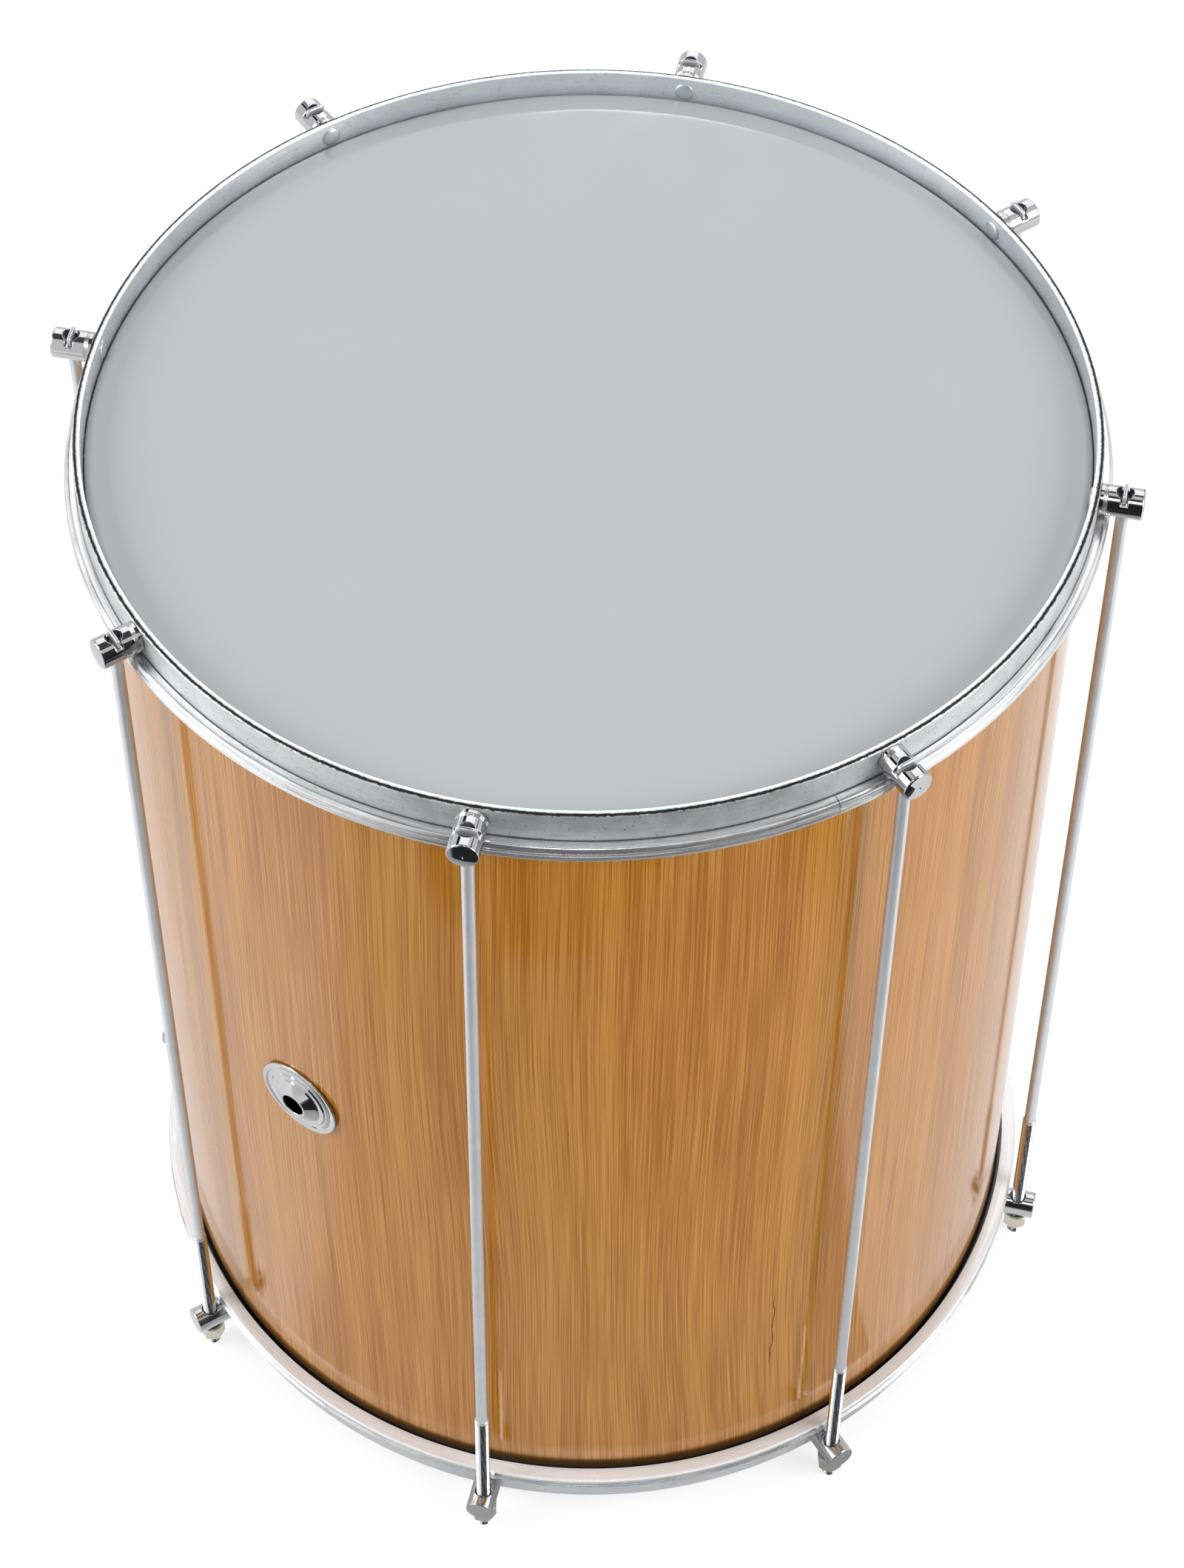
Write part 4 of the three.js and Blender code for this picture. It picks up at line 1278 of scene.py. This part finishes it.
class SURDO_OT_rods(bpy.types.Operator):
    """Build the eight tension rods, each with a flattened head and a rolled thread"""

    bl_idname = "surdo.rods"
    bl_label = "Tension rods"

    def execute(self, context):
        rod = context.scene.surdo_rod
        slot_depth = context.scene.surdo_post.slot_depth
        finish = plated("bright_zinc", rod.tint, 0.28, 0.34, 30 * MM, 0.1, 0.6)
        thread_finish = plated("thread_zinc", tinted(rod.tint, 1.25), 0.14, 0.2, 6 * MM)
        end_radius = rod.thread - rod.runout
        for number in STATIONS:
            foot, axes = rod_place(number, slot_depth)
            lean = math.acos(axes[2, 2])
            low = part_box(f"tension_rod_{number}")[0].z
            full = (foot[2] - low - end_radius * math.sin(lean)) / axes[2, 2]
            points, faces = self.surface(rod, full, slot_depth)
            thread_top = (foot + axes[:, 2] * (rod.thread_length - full))[2]

            def choose(centres, level=thread_top):
                return centres[:, 2] < level

            bar = moved(points, axes, foot), faces
            name, nodes = f"tension_rod_bar_{number}", [f"tension_rod_{number}"]
            finishes = [finish, thread_finish]
            add_piece(name, bar, finishes, "drum", nodes, choose=choose)
        return {"FINISHED"}

    def surface(self, rod, full, slot_depth):
        """A section carried along the rod, from its lower end at minus its full length.

        The section is a rounded oblong: cosine and sine of the angle, each raised to two over
        a power and times a half width. The power is two on the round shank. Along the thread
        the radius also falls by the thread's depth times a clipped triangle wave of the
        height over the pitch less the share of a turn."""
        top = slot_depth + rod.head_stand
        thread_top = rod.thread_length - full
        flare_end, neck_end = 0.4 * MM, -0.2 * MM
        rows_per_turn = 10
        swell, flare_power, edge_power = 1.05, 0.7, 0.35
        flank, crest = 1.3, 0.15
        fade_turns = 1.5
        turns = rod.thread_length / rod.pitch
        thread_rows = np.linspace(-full + rod.runout, thread_top, round(turns * rows_per_turn) + 1)
        end = rod.thread - rod.runout
        corner = rod.head_corner
        sweep = np.linspace(0, QUARTER, 9)[1:]
        flat = smoothstep(np.linspace(0, 1, 6))
        stem = rod.shank * swell
        flare = stem + (rod.head - stem) * np.linspace(0.15, 1, 4) ** flare_power
        thick = rod.head_thickness
        round_power, flat_power = 2.0, 5.0
        # The rows of each stretch, its half width, its half thickness and its power.
        stretches = (
            ((-full, -full), (0, end), (0, end), round_power),
            (thread_rows, rod.thread, rod.thread, round_power),
            (
                np.linspace(thread_top + rod.runout, -rod.neck, 10),
                rod.shank,
                rod.shank,
                round_power,
            ),
            (
                np.linspace(-rod.neck, neck_end, 7)[1:],
                rod.shank + (stem - rod.shank) * flat,
                rod.shank + (thick - rod.shank) * flat,
                round_power + (flat_power - round_power) * flat,
            ),
            (np.linspace(0, flare_end, 4), flare, thick, flat_power),
            ((top - corner,), rod.head, thick, flat_power),
            (
                top - corner + corner * np.sin(sweep),
                rod.head - corner + corner * np.cos(sweep),
                thick * np.clip(np.cos(sweep), 0, 1) ** edge_power,
                flat_power,
            ),
        )
        table = [np.stack(np.broadcast_arrays(*stretch), 1) for stretch in stretches]
        rows, wide, thin, power = np.concatenate(table).T[:, :, None]
        columns = 24
        turned = np.arange(columns)[None] / columns * TURN
        cos, sin = np.cos(turned), np.sin(turned)
        wave = (rows / rod.pitch - turned / TURN) % 1
        wave = np.clip(flank * np.abs(2 * wave - 1) - crest, 0, 1)
        fade = np.clip((thread_top - rows) / (fade_turns * rod.pitch), 0, 1)
        depth = rod.thread_depth * fade * wave
        depth[:2] = 0
        x = (thin - depth) * (np.sign(cos) * np.abs(cos) ** (2 / power))
        y = (wide - depth) * (np.sign(sin) * np.abs(sin) ** (2 / power))
        points = np.stack((x, y, np.repeat(rows, columns, 1)), 2)
        points = np.concatenate((points, points[-1:] * (0, 0, 1))).reshape(-1, 3)
        return with_poles(points, grid_faces(len(rows) + 1, columns, False, True))


class SURDO_OT_nuts(bpy.types.Operator):
    """Build the washer and the hexagon nut on the end of each rod"""

    bl_idname = "surdo.nuts"
    bl_label = "Nuts and washers"

    def execute(self, context):
        nut = context.scene.surdo_nut
        slot_depth = context.scene.surdo_post.slot_depth
        finish = plated("nickel", nut.tint, 0.14, 0.3, 5 * MM, 0.3)
        half, soft = nut.washer_height / 2, 0.3 * MM
        washer = bar_outline(nut.washer_bore, nut.washer, -half, half, soft, soft, 4)
        washer_points, washer_faces = revolved(washer, sides=64)
        nut_points, nut_faces = self.nut_surface(nut)
        for number in STATIONS:
            axes = rod_place(number, slot_depth)[1]
            surface = moved(nut_points, axes, nut_axis(number)[0]), nut_faces
            name, body, nodes = f"hex_nut_{number}", f"nut_{number}", [f"tension_nut_{number}"]
            add_piece(name, surface, [finish], body, nodes, sharp=25)
            body = f"washer_{number}"
            surface = moved(washer_points, axes, middle(body)), washer_faces
            add_piece(f"flat_washer_{number}", surface, [finish], body, [body])
        return {"FINISHED"}

    def nut_surface(self, nut):
        """A hexagon whose corners are cut by a cone at both ends, round a threaded bore.

        The outer radius is the smaller of the hexagon's, half the width over the cosine of
        the angle from the nearest flat, and the cone's, which grows with the depth from the
        end. The bore's radius waves with the height and the angle, as a thread's does."""
        columns = 96
        turned = np.arange(columns) / columns * TURN
        sixth = TURN / 6
        hexagon = nut.flats / 2 / np.cos((turned + sixth / 2) % sixth - sixth / 2)
        half = nut.height / 2
        depth = np.array((0, 0.1, 0.3, 0.5, 0.7, 0.9, 1.1)) * MM
        face_share, cone_slope = 0.985, math.tan(math.radians(60))
        cone = nut.flats / 2 * face_share + depth * cone_slope
        rows = np.concatenate((-half + depth, (half - depth)[::-1]))
        outer = np.minimum(hexagon[None], np.concatenate((cone, cone[::-1]))[:, None])
        bore_rows = np.linspace(half, -half, 50)
        pitch, thread_depth, chamfer, chamfer_depth = 1.25 * MM, 0.35 * MM, 0.6 * MM, 0.25 * MM
        wave = (bore_rows[:, None] / pitch - turned[None] / TURN) % 1
        bore = nut.bore - thread_depth * np.abs(2 * wave - 1)
        mouth = np.clip((half - np.abs(bore_rows)) / chamfer, 0, 1)[:, None]
        bore = bore * mouth + (nut.bore + chamfer_depth) * (1 - mouth)
        height = np.concatenate((rows, bore_rows))[:, None]
        points = from_polar(np.concatenate((outer, bore)), turned, height)
        return points, [grid_faces(len(height), columns, True, True)]


class SURDO_OT_vent(bpy.types.Operator):
    """Build the pressed vent plate and the ring nut that holds it from inside"""

    bl_idname = "surdo.vent"
    bl_label = "Vent"

    def execute(self, context):
        vent = context.scene.surdo_vent
        tint = context.scene.surdo_post.tint
        chrome = plated("vent_chrome", tint, 0.035, 0.08, 12 * MM)
        centre = middle("vent_ring")
        ring_middle = math.hypot(centre.x, centre.y) - SHELL_RADIUS
        ring_face = ring_middle + vent.ring_height / 2
        ring_back = ring_face - vent.ring_height
        gap = 0.3 * MM
        neck_end = ring_back - gap
        rim = gap + vent.rim
        mouth = rim + 2 * vent.step + vent.crown
        soft, crisp = 0.45 * MM, 0.25 * MM
        plate = [
            (vent.hole, neck_end, crisp),
            (vent.neck, neck_end, crisp),
            (vent.neck, gap, crisp),
            (vent.radius, gap, crisp),
            (vent.radius, rim, soft),
            (vent.line + vent.line_width, rim, 0),
            (vent.line, rim - vent.line_width, 0),
            (vent.line - vent.line_width, rim, 0),
            (vent.outer_step, rim, crisp),
            (vent.outer_step - vent.step, rim + vent.step, crisp),
            (vent.inner_step, rim + vent.step, crisp),
            (vent.inner_step - vent.step, rim + 2 * vent.step, soft),
            (vent.mouth, mouth, soft),
            (vent.hole, mouth, soft),
        ]
        ring = bar_outline(vent.neck + gap, vent.ring, ring_back, ring_face, crisp, soft)
        spin = about_z(math.atan2(centre.y, centre.x))
        for name, outline, hidden in (
            ("vent_disc", rounded(plate), "vent_plate"),
            ("vent_nut", ring, "vent_ring"),
        ):
            points, faces = revolved(outline, sides=128)
            laid = np.stack((SHELL_RADIUS + points[:, 2], points[:, 1], -points[:, 0]), 1)
            surface = moved(laid, spin, (0, 0, centre.z)), faces
            add_piece(name, surface, [chrome], "drum", [hidden], sharp=50)
        return {"FINISHED"}


def path_of(tree, *rays):
    """1 for the kinds of ray that are named, from the Light Path node."""
    path = node(tree, "ShaderNodeLightPath").outputs
    seen = Value(tree, path[rays[0]])
    for ray in rays[1:]:
        seen = seen.larger(Value(tree, path[ray]))
    return seen


def shader(tree, kind, inputs=None):
    """Adds a shader and returns its output."""
    return node(tree, kind, inputs).outputs[0]


class SURDO_OT_studio(bpy.types.Operator):
    """Build the pale floor, the soft lights, the white background and the camera"""

    bl_idname = "surdo.studio"
    bl_label = "Studio"

    def execute(self, context):
        scene = context.scene
        scene.view_settings.view_transform = "Standard"
        self.make_floor()
        self.make_world(scene)
        self.make_lights()
        self.make_flags()
        self.make_camera(scene, scene.surdo_studio)
        return {"FINISHED"}

    def stage_object(self, name, points, faces, material):
        """A mesh that belongs to the studio."""
        mesh = bpy.data.meshes.new(name)
        mesh.from_pydata(points, [], faces)
        mesh.materials.append(material)
        made = bpy.data.objects.new(name, mesh)
        bpy.context.scene.collection.objects.link(made)
        return made

    def make_floor(self):
        """A wide pale floor. The camera and reflections see it lifted to white, with the
        drum's soft shadow kept."""
        made, tree = empty_material("studio_floor")
        seen = path_of(tree, "Is Camera Ray", "Is Glossy Ray", "Is Transmission Ray")
        plain = shader(tree, "ShaderNodeBsdfDiffuse", {"Color": (0.86, 0.86, 0.86, 1)})
        faint = shader(tree, "ShaderNodeBsdfDiffuse", {"Color": (0.34, 0.34, 0.34, 1)})
        strength = path_of(tree, "Is Camera Ray").between(0, 1, 0.60, 0.72)
        glow = shader(tree, "ShaderNodeEmission", {"Strength": strength})
        lifted = shader(tree, "ShaderNodeAddShader", {0: faint, 1: glow})
        chosen = shader(tree, "ShaderNodeMixShader", {0: seen, 1: plain, 2: lifted})
        node(tree, "ShaderNodeOutputMaterial", {"Surface": chosen})
        half = 6.0
        corners = [(-half, -half, 0), (half, -half, 0), (half, half, 0), (-half, half, 0)]
        self.stage_object("studio_floor", corners, [(0, 1, 2, 3)], made)

    def make_world(self, scene):
        """White where the camera sees it, a soft grey light from all sides, and for
        reflections a pale wall with a dark ring of ceiling above it."""
        world = bpy.data.worlds.new("studio")
        scene.world = world
        world.use_nodes = True
        tree = world.node_tree
        tree.nodes.clear()
        direction = Value(tree, node(tree, "ShaderNodeTexCoord").outputs["Generated"])
        height = split(direction)[2]
        ceiling = height.between(0.86, 0.90) * height.between(0.99, 0.975)
        ceiling = mixed(ceiling, (0.86, 0.86, 0.87, 1), (0.08, 0.08, 0.085, 1))
        background = "ShaderNodeBackground"
        shown = shader(tree, background, {"Color": (1, 1, 1, 1), "Strength": 1.0})
        mirrored = shader(tree, background, {"Color": ceiling, "Strength": 1.0})
        ambient = shader(tree, background, {"Color": (0.97, 0.985, 1, 1), "Strength": 0.55})
        glossy = path_of(tree, "Is Glossy Ray", "Is Transmission Ray")
        lit = shader(tree, "ShaderNodeMixShader", {0: glossy, 1: ambient, 2: mirrored})
        camera = path_of(tree, "Is Camera Ray")
        full = shader(tree, "ShaderNodeMixShader", {0: camera, 1: lit, 2: shown})
        node(tree, "ShaderNodeOutputWorld", {"Surface": full})

    def make_lights(self):
        """Two large soft lamps high at the sides, one over the camera, two behind and a faint
        one low in front, which only lights and isn't mirrored."""
        # Each lamp's name, place, size and power.
        lamps = (
            ("left_softbox", (-2.6, -0.9, 1.9), 1.8, 70),
            ("right_softbox", (2.6, -0.7, 1.9), 1.8, 66),
            ("front_softbox", (0.3, -1.9, 3.3), 0.4, 4.5),
            ("low_fill", (0.1, -1.0, 0.08), 0.4, 1.1),
            ("back_softbox", (-0.3, 2.6, 2.8), 3.4, 27),
            ("rim_softbox", (-0.45, 2.7, 2.5), 0.4, 5),
        )
        aim = Vector((0, 0, 0.4))
        for name, place, size, power in lamps:
            lamp = bpy.data.lights.new(name, "AREA")
            lamp.shape = "SQUARE"
            lamp.size = size
            lamp.energy = power
            carrier = bpy.data.objects.new(name, lamp)
            carrier.location = place
            carrier.rotation_mode = "QUATERNION"
            carrier.rotation_quaternion = (aim - Vector(place)).to_track_quat("-Z", "Y")
            carrier.visible_camera = False
            carrier.visible_glossy = name != "low_fill"
            bpy.context.scene.collection.objects.link(carrier)

    def make_flags(self):
        """Dark cards that only reflections see, which draw the dark bands in the chrome.

        Each upright card is a strip of a round wall about the drum, from one angle to
        another and from one height to another. The last card lies on the floor in front.
        Its near part is half clear and darkens with the distance, and its far part is dark."""
        dark = {"Color": (0.02, 0.02, 0.022, 1)}
        solid, tree = empty_material("dark_card")
        black = shader(tree, "ShaderNodeBsdfDiffuse", dark)
        node(tree, "ShaderNodeOutputMaterial", {"Surface": black})
        # Each card's name, first and last angle, distance from the axis, foot and top.
        cards = (
            ("front_flag", -106, -25, 1.85, 0.0, 2.3),
            ("back_flag", 68, 82, 2.6, 0.0, 1.5),
            ("left_flag", 178, 191, 2.7, 1.5, 2.7),
            ("left_high_flag", 150, 192, 2.7, 2.7, 4.5),
            ("right_high_flag", 22, 40, 2.7, 2.2, 3.6),
            ("back_high_flag", 128, 144, 2.7, 2.2, 3.4),
        )
        for name, start, end, reach, low, high in cards:
            turned = np.radians(np.linspace(start, end, 17))
            points = from_polar(reach, turned, np.array((low, high))[:, None])
            faces = grid_faces(2, len(turned), False, False)
            self.add_flag(name, points.tolist(), faces.tolist(), solid)

        half_clear, tree = empty_material("dark_flag")
        x, y, _ = split(object_position(tree))
        sideways = x / (y * -1)
        near = y.between(-0.36, -0.62, 0.38, 0.55) + x.between(-0.25, 0.2, 0, 0.17)
        near = maths(tree, "ADD", near, x.between(0.5, 0.62, 0, 0.4), True)
        near = near * sideways.between(-0.95, -0.65)
        far = y.between(-0.60, -0.66) * sideways.between(-0.50, -0.32)
        black = shader(tree, "ShaderNodeBsdfDiffuse", dark)
        clear = shader(tree, "ShaderNodeBsdfTransparent")
        card = shader(tree, "ShaderNodeMixShader", {0: near.larger(far), 1: clear, 2: black})
        node(tree, "ShaderNodeOutputMaterial", {"Surface": card})
        near_side = ((-0.25, -0.15), (0.25, -0.15), (0.80, -0.38), (1.05, -0.75))
        far_side = ((1.60, -1.35), (1.90, -1.80), (-0.60, -1.80), (-0.60, -0.60))
        points = [(x, y, 1 * MM) for x, y in near_side + far_side]
        self.add_flag("floor_flag", points, [range(len(points))], half_clear)

    def add_flag(self, name, points, faces, material):
        """One card, seen by reflections alone."""
        card = self.stage_object(name, points, faces, material)
        card.visible_camera = False
        card.visible_diffuse = False
        card.visible_shadow = False

    def make_camera(self, scene, studio):
        """The camera looks down at the drum, with a long lens and a small shift."""
        width, height = 1600, 2119
        yaw = studio.turn - studio.yaw
        level = np.array((math.cos(yaw), math.sin(yaw), 0))
        ahead = np.array((-math.sin(yaw), math.cos(yaw), 0))
        forward = ahead * math.cos(studio.pitch) - np.array((0, 0, math.sin(studio.pitch)))
        upright = np.cross(level, forward)
        right = math.cos(studio.roll) * level + math.sin(studio.roll) * upright
        up = math.cos(studio.roll) * upright - math.sin(studio.roll) * level
        across = studio.distance * math.sin(studio.turn)
        back = -studio.distance * math.cos(studio.turn)
        data = bpy.data.cameras.new("camera")
        data.sensor_width = 36
        data.lens = studio.focal
        data.shift_x = (width / 2 - studio.principal_x) / height
        data.shift_y = (studio.principal_y - height / 2) / height
        camera = bpy.data.objects.new("camera", data)
        turned = Matrix(np.stack((right, up, -forward), 1).tolist()).to_4x4()
        camera.matrix_world = Matrix.Translation((across, back, studio.height)) @ turned
        scene.collection.objects.link(camera)
        scene.camera = camera


class SURDO_PT_panel(bpy.types.Panel):
    """Lists the operators and the settings of the surdo"""

    bl_idname = "SURDO_PT_panel"
    bl_label = "Surdo"
    bl_space_type = "VIEW_3D"
    bl_region_type = "UI"
    bl_category = "Surdo"

    def draw(self, context):
        for operator, group in STEPS:
            self.layout.operator(operator.bl_idname)
            if group is None:
                continue
            settings = getattr(context.scene, group)
            box = self.layout.box()
            for name in settings.__annotations__:
                box.prop(settings, name)


SETTINGS = {
    "surdo_shell": SurdoShellSettings,
    "surdo_head": SurdoHeadSettings,
    "surdo_flesh_hoop": SurdoFleshHoopSettings,
    "surdo_hoop": SurdoHoopSettings,
    "surdo_post": SurdoPostSettings,
    "surdo_rod": SurdoRodSettings,
    "surdo_nut": SurdoNutSettings,
    "surdo_vent": SurdoVentSettings,
    "surdo_studio": SurdoStudioSettings,
}

# Each operator with the settings that it reads, in the order of building.
STEPS = (
    (SURDO_OT_shell, "surdo_shell"),
    (SURDO_OT_heads, "surdo_head"),
    (SURDO_OT_flesh_hoops, "surdo_flesh_hoop"),
    (SURDO_OT_hoops, "surdo_hoop"),
    (SURDO_OT_hook_posts, "surdo_post"),
    (SURDO_OT_eye_posts, None),
    (SURDO_OT_rods, "surdo_rod"),
    (SURDO_OT_nuts, "surdo_nut"),
    (SURDO_OT_vent, "surdo_vent"),
    (SURDO_OT_studio, "surdo_studio"),
)


def register():
    for name, group in SETTINGS.items():
        bpy.utils.register_class(group)
        setattr(bpy.types.Scene, name, bpy.props.PointerProperty(type=group))
    for operator, _ in STEPS:
        bpy.utils.register_class(operator)
    bpy.utils.register_class(SURDO_PT_panel)


def unregister():
    bpy.utils.unregister_class(SURDO_PT_panel)
    for operator, _ in reversed(STEPS):
        bpy.utils.unregister_class(operator)
    for name, group in reversed(SETTINGS.items()):
        delattr(bpy.types.Scene, name)
        bpy.utils.unregister_class(group)


def main():
    """Builds the drum and its studio."""
    register()
    bpy.ops.surdo.shell()
    bpy.ops.surdo.heads()
    bpy.ops.surdo.flesh_hoops()
    bpy.ops.surdo.hoops()
    bpy.ops.surdo.hook_posts()
    bpy.ops.surdo.eye_posts()
    bpy.ops.surdo.rods()
    bpy.ops.surdo.nuts()
    bpy.ops.surdo.vent()
    bpy.ops.surdo.studio()


if __name__ == "__main__":
    main()
